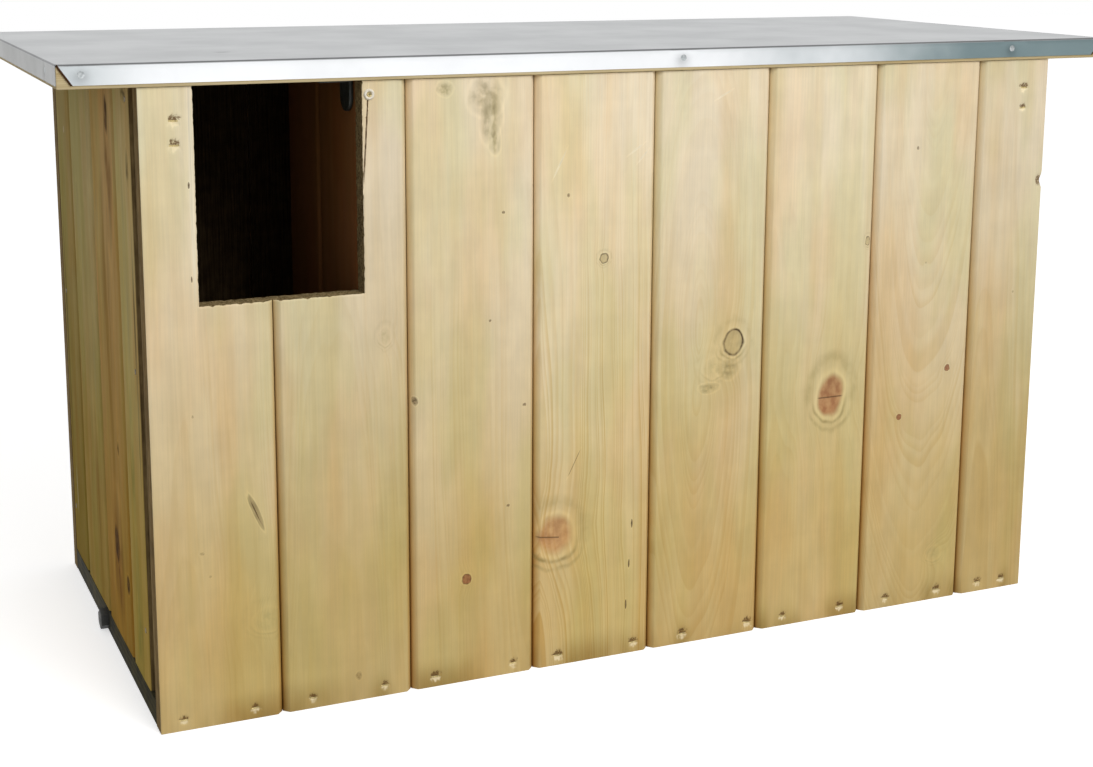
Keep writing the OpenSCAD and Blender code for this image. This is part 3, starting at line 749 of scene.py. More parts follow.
def rough_wood(name, colour, dark, wide, tall):
    """Unplaned wood: dull, rough, with torn fibre bundles this wide and tall that catch dirt."""
    if name in bpy.data.materials:
        return bpy.data.materials[name]
    material, tree = new_material(name)
    place = add(tree, "TexCoord").outputs["Object"]
    stretched = add(tree, "Mapping", {"Vector": place,
                                      "Scale": (1 / wide / MM, 1 / wide / MM, 1 / tall / MM)})
    torn = add(tree, "TexNoise", {"Vector": stretched, "Scale": 1.0, "Detail": 4.0,
                                  "Roughness": 0.65})
    patch = add(tree, "TexNoise", {"Vector": place, "Scale": 1 / (14 * MM), "Detail": 2.0})
    tone = add(tree, "MapRange", (torn, 0.38, 0.68))
    light = add(tree, "Mix", (tone, dark, colour), **MIXED)
    shade = add(tree, "MapRange", (patch, 0.35, 0.65, 0.75, 1.08))
    shader = add(tree, "BsdfPrincipled", {
        "Base Color": add(tree, "VectorMath", (light, shade), **SCALED),
        "Roughness": 0.85, "Specular IOR Level": 0.1,
        "Normal": add(tree, "Bump", {"Height": torn, "Strength": 0.8, "Distance": 0.5 * MM}),
    })
    add(tree, "OutputMaterial", (shader,))
    return material


def sawn_end_grain():
    """Sawn spruce end grain: dull grey-beige with torn fibre bundles about 1.6 mm across."""
    return rough_wood("sawn_spruce_end_grain", srgb("b7a276"), srgb("5c4a2c"), 1.6, 1.6)


def sawn_edge():
    """Sawn long edge of a wall's first and last board: brown, streaked along the grain."""
    return rough_wood("sawn_spruce_edge", srgb("a58c5f"), srgb("76603c"), 2.0, 60.0)


def rough_inner_face():
    """Band-sawn spruce inside the box: brown with dirt, its saw marks some 3 mm apart."""
    return rough_wood("band_sawn_spruce_inside", srgb("6f5b40"), srgb("4a3a26"), 1.8, 60.0)


def long_wood(name, colour, dark, along):
    """Plain sawn softwood inside the box: streaks along one axis, dull, unplaned."""
    material, tree = new_material(name)
    wide, long = 1 / (3.2 * MM), 1 / (160 * MM)
    place = add(tree, "Mapping", {"Vector": add(tree, "TexCoord").outputs["Object"],
                                  "Scale": [long if axis == along else wide for axis in "XYZ"]})
    streak = add(tree, "TexNoise", {"Vector": place, "Scale": 1.0, "Detail": 5.0,
                                    "Roughness": 0.62})
    tone = add(tree, "MapRange", (streak, 0.34, 0.66))
    shader = add(tree, "BsdfPrincipled", {
        "Base Color": add(tree, "Mix", (tone, dark, colour), **MIXED), "Roughness": 0.8,
        "Normal": add(tree, "Bump", {"Height": streak, "Strength": 0.5, "Distance": 0.3 * MM}),
    })
    add(tree, "OutputMaterial", (shader,))
    return material


def dirty_plywood():
    """Weathered plywood of the floor: nearly black with green algae, thin plies at its edge."""
    material, tree = new_material("weathered_plywood")
    place = add(tree, "TexCoord").outputs["Object"]
    up = add(tree, "SeparateXYZ", (place,)).outputs["Z"]
    # Seven plies of 3 mm
    plies = add(tree, "Math", (up, 2 * math.pi / (6 * MM)), **TIMES)
    wave = add(tree, "Math", (plies,), operation="SINE")
    dirt = add(tree, "TexNoise", {"Vector": place, "Scale": 1 / (22 * MM), "Detail": 5.0,
                                  "Roughness": 0.65})
    damp = add(tree, "Math", (wave, 0.06, dirt), **TIMES_PLUS)
    tone = add(tree, "MapRange", (damp, 0.38, 0.7))
    shader = add(tree, "BsdfPrincipled", {
        "Base Color": add(tree, "Mix", (tone, srgb("1e1d13"), srgb("4c462c")), **MIXED),
        "Roughness": 0.9, "Specular IOR Level": 0.2,
        "Normal": add(tree, "Bump", {"Height": damp, "Strength": 0.6, "Distance": 0.4 * MM}),
    })
    add(tree, "OutputMaterial", (shader,))
    return material


def galvanised_sheet(metal):
    """Hot-dip galvanised steel sheet: light grey, dull mirror, faint spangle, rolling streaks.
    Its front fold is painted bright, dulling towards the right end as painted reflection; its
    side folds are grey as painted shade, and its top is grey, partly dulled zinc and partly
    painted reflection."""
    material, tree = new_material("hot_dip_galvanised_sheet")
    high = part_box("roof_sheet")[1]
    place = add(tree, "TexCoord").outputs["Object"]
    at = add(tree, "SeparateXYZ", (place,)).outputs
    # Spangles are about 9 mm across
    spangle = add(tree, "TexVoronoi", {"Vector": place, "Scale": 1 / (9 * MM)})
    flake = add(tree, "SeparateColor", (spangle.outputs["Color"],))
    rolled = add(tree, "Mapping", {"Vector": place, "Scale": (1 / 0.35, 1 / 0.012, 1 / 0.012)})
    streak = add(tree, "TexNoise", {"Vector": rolled, "Scale": 1.0, "Detail": 3.0})
    bloom = add(tree, "TexNoise", {"Vector": place, "Scale": 1 / (90 * MM), "Detail": 4.0})
    painted_reflection_place = add(tree, "Math", (bloom, 0.3, at["X"]), **TIMES_PLUS)
    aside = add(tree, "Math", (at["X"],), operation="ABSOLUTE")
    colour = tuple(metal.bright)
    # Painted reflection: the fold dulls to the right and a little at its left end. Painted shade:
    # the side folds are dull all over. The top is dull all over, partly dulled zinc and partly
    # painted reflection
    for value, first, last, share, ink in (
        (painted_reflection_place, 0.16, 0.55, 1.0, metal.dull),
        (at["X"], 90 * MM - high.x, -high.x, 0.45, metal.dull),
        (aside, high.x - 2 * MM, high.x - MM, 1.0, metal.side),
        (at["Z"], high.z - 2 * MM, high.z - MM, 1.0, metal.top),
    ):
        part = add(tree, "MapRange", (value, first, last, 0.0, share), **SMOOTH)
        colour = add(tree, "Mix", (part, colour, tuple(ink)), **MIXED)
    marked = add(tree, "Math", (flake, 0.05, bloom), **TIMES_PLUS)
    toned = add(tree, "Math", (streak, 0.1, marked), **TIMES_PLUS)
    tone = add(tree, "MapRange", (toned, 0.38, 0.78, 1.03, 0.95))
    # Painted shade darkens the bend, the dent in the top and the dimples round the nails; the zinc
    # round the nails is also bruised
    worn = add(tree, "Attribute", attribute_name="wear_and_painted_light").outputs["Fac"]
    darker = add(tree, "MapRange", (worn, 0.0, 1.0, 1.0, 0.4))
    tone = add(tree, "Math", (tone, darker), **TIMES)
    shader = add(tree, "BsdfPrincipled", {
        "Base Color": add(tree, "VectorMath", (colour, tone), **SCALED), "Metallic": 0.9,
        "Roughness": add(tree, "MapRange", (toned, 0.4, 0.8, 0.38, 0.48), **SMOOTH),
        "Normal": add(tree, "Bump", {"Height": streak, "Strength": 0.15, "Distance": 0.1 * MM}),
    })
    add(tree, "OutputMaterial", (shader,))
    return material


def worn_metal(name, colour, dark, metallic, rough_low, rough_high, grit_mm):
    """Metal or paint with a worn, blotchy skin whose blotches have a real size."""
    if name in bpy.data.materials:
        return bpy.data.materials[name]
    material, tree = new_material(name)
    blotch = add(tree, "TexNoise", {"Vector": add(tree, "TexCoord").outputs["Object"],
                                    "Scale": 1 / (grit_mm * MM), "Detail": 4.0,
                                    "Roughness": 0.6})
    tone = add(tree, "MapRange", (blotch, 0.35, 0.65))
    shader = add(tree, "BsdfPrincipled", {
        "Base Color": add(tree, "Mix", (tone, dark, colour), **MIXED), "Metallic": metallic,
        "Roughness": add(tree, "MapRange", (tone, 0.0, 1.0, rough_high, rough_low)),
        "Normal": add(tree, "Bump", {"Height": blotch, "Strength": 0.3, "Distance": 0.1 * MM}),
    })
    add(tree, "OutputMaterial", (shader,))
    return material


def plated_steel():
    """Zinc-plated, yellow-passivated steel of staples and screws: bright with dull blotches."""
    colour = tuple(settings("metal").plated)
    return worn_metal("yellow_zinc_plated_steel", colour, [c * 0.5 for c in colour],
                      0.9, 0.3, 0.55, 2.5)


def black_steel():
    """Black-painted steel: satin paint, rubbed greener and duller where it is handled."""
    colour = tuple(settings("metal").black)
    return worn_metal("black_painted_steel", colour, srgb("12130f"), 0.0, 0.42, 0.6, 4.0)


def weathered_zinc():
    """Zinc-coated wire nails of the side walls, dulled to a dirty grey-brown."""
    return worn_metal("weathered_zinc_nail", srgb("8b8064"), srgb("4c4230"), 0.5, 0.5, 0.7, 2.0)


def bright_zinc():
    """Galvanised nails of the folds: the sheet's own grey with dull blotches."""
    return worn_metal("galvanised_nail", srgb("c3c7c8"), srgb("9da3a5"), 0.9, 0.36, 0.5, 2.0)


def rust_and_shade_edge():
    """Cut edge of the sheet and a narrow rim beside it: dark, grainy rust where the zinc is
    missing, widened as painted shade.
    """
    return rough_wood("rusted_cut_edge", srgb("5b3b1e"), srgb("2e1c0f"), 1.2, 1.2)


def pale_plastic():
    """Off-white moulded nylon of the cup washer."""
    return worn_metal("off_white_nylon", srgb("efe9dc"), srgb("d8cdb6"), 0.0, 0.45, 0.55, 3.0)


# Boards


def profile(left, right, thick, first, last):
    """Points of a board's end: bevelled front arrises, groove on the left, tongue on the right."""
    ease = BEVEL - JOINT_GAP / 2
    points = [(left, 0)] if first else [(left, BEVEL), (left + ease, 0)]
    points += [(right, 0)] if last else [(right - ease, 0), (right, BEVEL)]
    if not last:
        tongue = right + TONGUE_OUT
        points += [(right, TONGUE_IN), (tongue, TONGUE_IN)]
        points += [(tongue, TONGUE_IN + TONGUE_T), (right, TONGUE_IN + TONGUE_T)]
    points += [(right, thick), (left, thick)]
    if not first:
        inner, near = left + GROOVE_IN, TONGUE_IN - TONGUE_CLEAR
        far = TONGUE_IN + TONGUE_T + TONGUE_CLEAR
        points += [(left, far), (inner, far), (inner, near), (left, near)]
    return points


def board_mesh(low, high, first, last, step):
    """A board in its wall's millimetres, its long edges rounded and its face gridded."""
    right = high.x if last else high.x - TONGUE_OUT
    points = profile(low.x, right, high.y, first, last)
    bm = bmesh.new()
    end = bm.faces.new([bm.verts.new((u, d, low.z)) for u, d in points])
    grown = bmesh.ops.extrude_face_region(bm, geom=[end])["geom"]
    bmesh.ops.translate(bm, verts=only(BMVert, grown), vec=(0, 0, high.z - low.z))

    def upright():
        return [e for e in bm.edges if abs(e.verts[0].co.z - e.verts[1].co.z) > 1]

    round_edges(bm, [e for e in upright() if e.verts[0].co.y <= BEVEL],
                settings("boards").arris / MM)
    rows = max(1, round((high.z - low.z) / step) - 1)
    bmesh.ops.subdivide_edges(bm, edges=upright(), cuts=rows, use_grid_fill=True)
    across = [e for e in bm.edges if e.calc_length() > 20 and on_face(e)]
    columns = max(1, round((right - low.x) / step) - 1)
    bmesh.ops.subdivide_edges(bm, edges=across, cuts=columns, use_grid_fill=True)
    return bm


def on_face(edge):
    """Whether an edge lies on a board's outer face."""
    return all(v.co.y < TOUCH for v in edge.verts)


def refine(bm, spots):
    """Divides the face more finely within each spot: u, z and radius."""
    for u, z, radius in spots:
        near = [
            e for e in bm.edges
            if on_face(e)
            and all((v.co.x - u) ** 2 + (v.co.z - z) ** 2 < radius ** 2 for v in e.verts)
        ]
        bmesh.ops.subdivide_edges(bm, edges=near, cuts=2, use_grid_fill=True)


def dent_at(u, z, dent, seed):
    """Depth of a torn hollow round a staple, deepest in its middle, and how its colour changes:
    its upper side is darkened, as dirt in the torn wood and as painted shade, and its lower
    side gets a painted highlight, which is given as a value below 0."""
    far = math.hypot((u - dent.u) / dent.radius, (z - dent.z) / (1.05 * dent.radius))
    if far > 1.6:
        return 0.0, 0.0
    torn = noise.noise(Vector((u * 0.55, z * 0.35, seed)))
    sunk = dent.depth * max(0.0, min(1.0, 1.25 - far + 0.55 * torn))
    # Painted shade on the hollow's upper side, a painted highlight on its lower side
    above = max(0.0, min(1.0, 0.5 + (z - dent.z) / 2))
    return sunk, sunk * (2.1 * above - 1.0)


def along_crack(share):
    """The u and z of a place on the crack: 0 is its top, 1 its foot."""
    return [a + (b - a) * share for a, b in zip(CRACK.top, CRACK.foot)]


def crack_at(u, z):
    """Depth of the crack at a place; it wanders a little and thins out towards its foot."""
    share = (CRACK.top[1] - z) / (CRACK.top[1] - CRACK.foot[1])
    if not 0 < share < 1:
        return 0.0
    middle = along_crack(share)[0] + 0.5 * noise.noise(Vector((z * 0.08, 3, 1)))
    off = abs(u - middle) / (CRACK.half * (1.3 - share))
    return CRACK.depth * max(0.0, 1 - off) * (1 - share) ** 0.4


def weather_face(bm, low, high, seed, dents=(), cracked=False, bitten=False):
    """Moves the face inwards: slow waves, cup, dents, a crack, and a splintered edge. Torn
    places, and the painted shade and painted highlight of the staples' hollows, are written to
    the attribute that the wood's material darkens, and lightens where it is below 0."""
    wear_and_painted_light = bm.verts.layers.float.new("wear_and_painted_light")
    wave = settings("boards").wave / MM
    middle, half = (low.x + high.x) / 2, (high.x - low.x) / 2
    for vert in bm.verts:
        u, d, z = vert.co
        if d > BEVEL + 1:
            continue
        slow = noise.noise(Vector((u / 60, z / 190, seed)))
        quick = noise.noise(Vector((u / 14, z / 45, seed + 9)))
        cup = 0.6 * ((u - middle) / half) ** 2
        sink = wave * (0.45 + 0.45 * slow + 0.15 * quick + cup)
        if d < 1:
            # A staple's hollow: dirt and painted shade above it, a painted highlight below it
            torn, dirty = max((dent_at(u, z, dent, seed) for dent in dents), default=(0.0, 0.0))
            crack = crack_at(u, z) if cracked else 0.0
            sink += torn + crack
            vert[wear_and_painted_light] = min(1.0, dirty / 0.9 + crack)
        if bitten and u > high.x - 7:
            near = max(0.0, 1 - abs(z - EDGE_BITE.z) / EDGE_BITE.half)
            near *= 0.6 + 0.8 * abs(noise.noise(Vector((z * 0.4, u * 0.3, 5))))
            sink += EDGE_BITE.deep * near
            vert.co.x -= EDGE_BITE.deep * near * (1 if u > high.x - 1 else 0.4)
            vert[wear_and_painted_light] = max(vert[wear_and_painted_light], min(1.0, 1.3 * near))
        vert.co.y = d + max(0.0, sink)


def rough_ends(bm, low, high, seed):
    """Saws the board's two ends a little unevenly."""
    for vert in bm.verts:
        torn = 0.3 * abs(noise.noise(Vector((vert.co.x * 0.5, vert.co.y * 0.5, seed))))
        if vert.co.z > high.z - TOUCH:
            vert.co.z -= torn
        elif vert.co.z < low.z + TOUCH:
            vert.co.z += torn


def sort_faces(bm, low, high):
    """Gives sawn ends the second material, the inner face the third, an outer edge the last."""
    for face in bm.faces:
        places, depths, heights = zip(*(v.co for v in face.verts))
        if min(heights) > high.z - 0.5 or max(heights) < low.z + 0.5:
            face.material_index = 1
        elif min(depths) > high.y - 0.5:
            face.material_index = 2
        elif min(depths) > 0.5 and (max(places) < low.x + 0.1 or min(places) > high.x - 0.1):
            face.material_index = 3


def make_board(board, planed, step, dents=(), cracked=False, bitten=False, inside=None):
    """One board as a finished piece: planed wood outside, sawn wood at its ends, inside and on
    the wall's outer edges. Its face is finer round its dents and its crack."""
    low, high = box_in_wall(board.node, board.wall)
    seed = settings("boards").seed + sum(map(ord, board.node)) % 97
    spots = [(dent.u, dent.z, 12) for dent in dents]
    if cracked:
        spots += [(*along_crack(i / 8), 6) for i in range(9)]
    bm = board_mesh(low, high, board.first, board.last, step)
    refine(bm, [(u, z, far) for u, z, far in spots if low.x - far < u < high.x + far])
    weather_face(bm, low, high, seed, dents, cracked, bitten)
    rough_ends(bm, low, high, seed)
    sort_faces(bm, low, high)
    materials = [planed, sawn_end_grain(), inside or rough_inner_face(), sawn_edge()]
    return keep_mesh(bm, board.node + "_wood", materials, wall_matrix(board.wall))


def staple_spots(side):
    """Middle of each staple's crown in its wall's millimetres."""
    inverse = wall_matrix(WALLS[side]).inverted()
    middles = [inverse @ ((low + high) / 2) for low, high in solids_of(f"{side}_staples")]
    return [(middle.x, middle.z) for middle in middles]


def wall_dents(side, chance, least, most):
    """A torn hollow round each staple of a wall, of some 5 mm, and least to most deep."""
    return [Dent(u, z, chance.uniform(4, 5.6), chance.uniform(least, most))
            for u, z in staple_spots(side)]


def entrance_block(wall):
    """The entrance in the wall's millimetres, from the post, the partition and the opening."""
    openings = frame["record"]["physics"]["openings"]
    box = next(o["box_m"] for o in openings if o["name"] == "entrance_hole")
    inverse = wall_matrix(wall).inverted()
    left = (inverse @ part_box("post_front_left")[1]).x
    right = (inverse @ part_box("partition_board_1")[0]).x
    sill = box[0][2] / MM - 1
    top = box_in_wall("front_board_1", wall)[1]
    return Vector((left, -PAST, sill)), Vector((right, top.y + PAST, top.z + PAST))


def entrance_cutter(low, high):
    """A block whose floor and sides are rough, with chips along their outer arrises."""
    chip = settings("boards").chip / MM
    bm = bmesh.new()
    block(bm, low, high)
    for axis, step in ((0, 1.6), (1, 1.4), (2, 1.8)):
        edges = [
            e for e in bm.edges
            if abs(e.verts[0].co[axis] - e.verts[1].co[axis]) > step * 1.5
            and all(abs(e.verts[0].co[i] - e.verts[1].co[i]) < TOUCH for i in range(3) if i != axis)
        ]
        bmesh.ops.subdivide_edges(bm, edges=edges, cuts=round((high - low)[axis] / step),
                                  use_grid_fill=True)
    thick = high.y - low.y - 2 * PAST
    for vert in bm.verts:
        u, d, z = vert.co
        depth = d - low.y - PAST
        edge = max(0.0, 1 - depth / 1.5) + max(0.0, 1 - (thick - depth) / 2.6)
        torn = noise.noise(Vector((u * 0.22, d * 0.3, z * 0.22)))
        fuzz = noise.noise(Vector((u * 0.9, d * 0.9, z * 0.9)))
        bite = 0.16 * fuzz + chip * edge * max(0.0, torn - 0.05) * 1.6
        if z < low.z + TOUCH:
            vert.co.z -= bite
        elif u > high.x - TOUCH:
            vert.co.x += bite * 0.8
        elif u < low.x + TOUCH:
            vert.co.x -= bite * 0.5
    return keep_mesh(bm, "entrance_cutter", [sawn_end_grain()], wall_matrix(WALLS["front"]))


def random_marks(chance, low, high):
    """A few knots and pin knots such as any spruce board has."""
    marks = []
    for kind, count, size in (("red", 1, 9), ("ringed", 1, 6), ("brown", 1, 3.5), ("pin", 3, 1.6)):
        for _ in range(chance.randint(0, count) if kind != "pin" else count):
            wide = size * chance.uniform(0.7, 1.15)
            marks.append(Mark(kind, chance.uniform(low.x + 14, high.x - 18),
                              chance.uniform(low.z + 40, high.z - 40), wide,
                              wide * chance.uniform(1, 1.4), chance.uniform(-10, 10)))
    return marks


def random_cut(chance, low, high):
    """How any board may have been cut from its log."""
    return Cut(chance.uniform(low.x, high.x), chance.uniform(45, 90),
               chance.uniform(-0.06, 0.06), chance.uniform(0.94, 1.03), chance.uniform(0.6, 1.2))


class NESTBOX_OT_front_boards(bpy.types.Operator):
    """Builds the eight front boards with the sawn entrance"""

    bl_idname = "nest_box.front_boards"
    bl_label = "Front boards"

    def execute(self, context):
        looks, boards = settings("wood"), settings("boards")
        wall = WALLS["front"]
        wood = Wood(tuple(looks.pale), tuple(looks.deep), 0.8, 0.5)
        dents = wall_dents("front", random.Random(boards.seed), 0.8, 1.2)
        made = {}
        for number, cut_of in enumerate(FRONT_CUTS, 1):
            board = Board(f"front_board_{number}", wall, number == 1, number == len(FRONT_CUTS))
            low, high = box_in_wall(board.node, wall)
            marks = [m for m in FRONT_MARKS if low.x - 8 < m.u < high.x - 2]
            planed = spruce(f"planed_spruce_front_{number}", wall, cut_of, wood, marks,
                            (371 * number, 131 * number, 977 * number))
            made[board.node] = make_board(board, planed, boards.fine_step / MM, dents,
                                          cracked=number == 2, bitten=board.last)
        cutter = entrance_cutter(*entrance_block(wall))
        for node in ("front_board_1", "front_board_2"):
            cut(made[node], cutter)
        bpy.data.objects.remove(cutter)
        for node, piece in made.items():
            stand_for(piece, "box", "wall_boards", node)
        return {"FINISHED"}


class NESTBOX_OT_back_boards(bpy.types.Operator):
    """Builds the eight back boards"""

    bl_idname = "nest_box.back_boards"
    bl_label = "Back boards"

    def execute(self, context):
        looks, boards = settings("wood"), settings("boards")
        wall = WALLS["back"]
        wood = Wood(tuple(looks.pale), tuple(looks.deep), 0.9, 0.5)
        chance = random.Random(boards.seed + 1)
        dents = wall_dents("back", chance, 0.7, 1.1)
        count = 8
        for number in range(1, count + 1):
            board = Board(f"back_board_{number}", wall, number == 1, number == count)
            low, high = box_in_wall(board.node, wall)
            marks = random_marks(chance, low, high)
            planed = spruce(f"planed_spruce_back_{number}", wall, random_cut(chance, low, high),
                            wood, marks, (213 * number, 517 * number, 733 * number))
            piece = make_board(board, planed, boards.coarse_step / MM, dents)
            stand_for(piece, "box", "wall_boards", board.node)
        return {"FINISHED"}


class NESTBOX_OT_side_boards(bpy.types.Operator):
    """Builds the four boards of each side wall"""

    bl_idname = "nest_box.side_boards"
    bl_label = "Side boards"

    def execute(self, context):
        looks, boards = settings("wood"), settings("boards")
        chance = random.Random(boards.seed + 2)
        for side in ("left", "right"):
            for number, tint in enumerate(SIDE_TINTS, 1):
                # Boards are counted from the front, and their place from the wall's left
                order = number - 1 if side == "right" else len(SIDE_TINTS) - number
                board = Board(f"{side}_board_{number}", WALLS[side], order == 0,
                              order == len(SIDE_TINTS) - 1)
                low, high = box_in_wall(board.node, board.wall)
                if side == "left":
                    marks = [m for m in LEFT_MARKS if low.x < m.u < high.x]
                else:
                    marks = random_marks(chance, low, high)
                # Side wood is darker than the front wood, partly as painted shade
                wood = Wood([c * t for c, t in zip(looks.side_pale, tint)],
                            [c * t for c, t in zip(looks.side_deep, tint)], 1.4, 0.75)
                planed = spruce(f"planed_spruce_{side}_{number}", board.wall,
                                random_cut(chance, low, high), wood, marks,
                                (157 * number, 331 * number, 611 * (number + order)))
                piece = make_board(board, planed, boards.coarse_step / MM)
                stand_for(piece, "box", "side_boards", board.node)
        return {"FINISHED"}


class NESTBOX_OT_partition(bpy.types.Operator):
    """Builds the two partition boards"""

    bl_idname = "nest_box.partition"
    bl_label = "Partition"

    def execute(self, context):
        wall = WALLS["partition"]
        inner = tuple(settings("wood").inner)
        wood = Wood(inner, tuple(c * 0.7 for c in inner), 1.0, 0.75)
        for number in (1, 2):
            board = Board(f"partition_board_{number}", wall, number == 2, number == 1)
            planed = spruce(f"brown_spruce_partition_{number}", wall, Cut(60, 50, 0.02), wood,
                            (), (91 * number, 47 * number, 311 * number))
            piece = make_board(board, planed, settings("boards").coarse_step / MM, inside=planed)
            stand_for(piece, "box", "inner_wood", board.node)
        return {"FINISHED"}


def timber(node, name, material, body, slot, ease=0.8, trim_top=0.0):
    """A plain sawn timber or panel with eased edges in a node's place."""
    low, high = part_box(node)
    bm = bmesh.new()
    block(bm, low, high - Vector((0, 0, trim_top * MM)))
    round_edges(bm, bm.edges, ease * MM)
    stand_for(keep_mesh(bm, name, [material]), body, slot, node)


class NESTBOX_OT_floor_and_posts(bpy.types.Operator):
    """Builds the floor panel and the four corner posts"""

    bl_idname = "nest_box.floor_and_posts"
    bl_label = "Floor and posts"

    def execute(self, context):
        inner = tuple(settings("wood").inner)
        timber("floor_panel", "floor_plywood", dirty_plywood(), "box", "floor_panel")
        post_wood = long_wood("sawn_softwood_post", tuple(c * 0.6 for c in inner),
                              tuple(c * 0.3 for c in inner), "Z")
        for place in ("front_left", "front_right", "back_left", "back_right"):
            timber(f"post_{place}", f"post_{place}_wood", post_wood, "box", "inner_wood")
        return {"FINISHED"}


# Fixings


def plain_mesh(bm, name):
    """A plain mesh of a bmesh, to be placed many times."""
    mesh = bpy.data.meshes.new(name)
    bm.to_mesh(mesh)
    bm.free()
    return mesh


def staple_mesh(width, length, radius):
    """A staple of round wire: crown along X at the origin, legs into +Y."""
    bend = 1.6 * radius
    side, leg = width / 2 - radius, length - radius - bend
    bm = bmesh.new()
    ring = bmesh.ops.create_circle(bm, cap_ends=True, radius=radius, segments=8)["verts"]
    bmesh.ops.rotate(bm, verts=ring, matrix=Matrix.Rotation(math.radians(90), 3, "X"))
    bmesh.ops.translate(bm, verts=ring, vec=(-side, length, 0))
    face = ring[0].link_faces[0]
    turns = (
        ("move", (0, -leg, 0)),
        ("turn", (-side + bend, radius + bend, 0)),
        ("move", (2 * (side - bend), 0, 0)),
        ("turn", (side - bend, radius + bend, 0)),
        ("move", (0, leg, 0)),
    )
    for way, vec in turns:
        if way == "move":
            grown = bmesh.ops.extrude_face_region(bm, geom=[face])["geom"]
            bmesh.ops.translate(bm, verts=only(BMVert, grown), vec=vec)
        else:
            grown = bmesh.ops.spin(bm, geom=[face], cent=vec, axis=(0, 0, 1), dvec=(0, 0, 0),
                                   angle=math.radians(90), steps=3)["geom_last"]
        face = only(BMFace, grown)[0]
    bmesh.ops.remove_doubles(bm, verts=bm.verts, dist=0.0005)
    return plain_mesh(bm, "one_staple")


def place_copies(name, mesh, matrices, material):
    """Joins copies of a mesh, one at each matrix, in one piece."""
    bm = bmesh.new()
    for matrix in matrices:
        start = len(bm.verts)
        bm.from_mesh(mesh)
        bm.verts.ensure_lookup_table()
        bmesh.ops.transform(bm, matrix=matrix, verts=bm.verts[start:])
    return keep_mesh(bm, name, [material])


class NESTBOX_OT_staples(bpy.types.Operator):
    """Places the wire staples of the front and back walls"""

    bl_idname = "nest_box.staples"
    bl_label = "Staples"

    def execute(self, context):
        steel = plated_steel()
        chance = random.Random(settings("boards").seed + 3)
        for side in ("front", "back"):
            node = f"{side}_staples"
            low, high = solids_of(node)[0]
            size = (high - low) / MM
            mesh = staple_mesh(size.x, size.y, size.z / 2)
            matrices = []
            for u, z in staple_spots(side):
                tilt = Matrix.Rotation(math.radians(chance.uniform(-9, 9)), 4, "Y")
                place = Matrix.Translation((u, STAPLE_SUNK, z))
                matrices.append(wall_matrix(WALLS[side]) @ place @ tilt)
            piece = place_copies(f"{side}_staple_wire", mesh, matrices, steel)
            stand_for(piece, "box", "plated_steel", node)
        return {"FINISHED"}


def turned(points, segments=24):
    """A bmesh spun round the Z axis from a profile of radius and height."""
    bm = bmesh.new()
    verts = [bm.verts.new((radius, 0, height)) for radius, height in points]
    edges = [bm.edges.new(pair) for pair in zip(verts, verts[1:])]
    bmesh.ops.spin(bm, geom=verts + edges, cent=(0, 0, 0), axis=(0, 0, 1), dvec=(0, 0, 0),
                   angle=2 * math.pi, steps=segments, use_merge=True, use_duplicate=False)
    bmesh.ops.remove_doubles(bm, verts=bm.verts, dist=1e-4)
    return bm


def nail_mesh(head_r, head_h, shank_r, length, dome):
    """A nail along +Z with its domed head's top on z = -dome and its head's rim at z = 0."""
    points = [
        (0, -dome), (0.55 * head_r, -0.85 * dome), (0.9 * head_r, -0.35 * dome), (head_r, 0),
        (head_r, head_h * 0.7), (0.8 * head_r, head_h), (shank_r, head_h),
        (shank_r, length - 3 * shank_r), (0, length),
    ]
    return plain_mesh(turned(points, 20), "one_nail")


def screw_mesh(head_r, head_h, shank_r, length, dome):
    """A screw along +Z with a low domed head and a cross recess."""
    points = [
        (0, -dome), (0.5 * head_r, -0.9 * dome), (0.85 * head_r, -0.5 * dome), (head_r, 0),
        (head_r, 0.15 * head_h), (shank_r, head_h), (shank_r, length - 2 * shank_r), (0, length),
    ]
    body = keep_mesh(turned(points, 28), "screw", [])
    bm = bmesh.new()
    long, narrow, deep = 0.525 * head_r, 0.1 * head_r, dome + 0.25 * head_h
    for wide, tall in ((long, narrow), (narrow, long)):
        block(bm, Vector((-wide, -tall, -dome - deep)), Vector((wide, tall, deep - dome)))
    recess = keep_mesh(bm, "recess", [])
    cut(body, recess, crossed=True)
    mesh = body.data
    for item in (body, recess):
        bpy.data.objects.remove(item)
    return mesh


def aim(place, direction):
    """Puts +Z along a direction at a place in metres, scaled from millimetres."""
    turn = Vector(direction).to_track_quat("Z", "Y").to_matrix().to_4x4()
    return Matrix.Translation(place) @ turn @ Matrix.Scale(MM, 4)


def fixing_size(node, axis):
    """Radius of the head and length, in millimetres, of a node's fixings along an axis."""
    low, high = solids_of(node)[0]
    size = (high - low) / MM
    head = size.x if axis == 2 else size.z
    return head / 2, size[axis]


def driven(low, high, axis, way):
    """Aims a fixing into the wood: its head is where its box begins as seen along the way."""
    place, direction = (low + high) / 2, Vector((0, 0, 0))
    place[axis] = low[axis] if way > 0 else high[axis]
    direction[axis] = way
    return aim(place, direction)


class NESTBOX_OT_side_nails(bpy.types.Operator):
    """Places the round nails of the side walls"""

    bl_idname = "nest_box.side_nails"
    bl_label = "Side nails"

    def execute(self, context):
        head_r, length = fixing_size("side_nails", 0)
        mesh = nail_mesh(head_r, head_h=1.0, shank_r=NAIL_SHANK_R, length=length, dome=0.0)
        matrices = [driven(low, high, 0, -1 if low.x > 0 else 1)
                    for low, high in solids_of("side_nails")]
        piece = place_copies("side_wall_nails", mesh, matrices, weathered_zinc())
        stand_for(piece, "box", "plated_steel", "side_nails")
        return {"FINISHED"}


class NESTBOX_OT_floor_screws(bpy.types.Operator):
    """Finishes the screws under the floor, which keep their CAD shape"""

    bl_idname = "nest_box.floor_screws"
    bl_label = "Floor screws"

    def execute(self, context):
        node = frame["nodes"]["floor_screws"]
        node.data.materials.clear()
        node.data.materials.append(plated_steel())
        return {"FINISHED"}


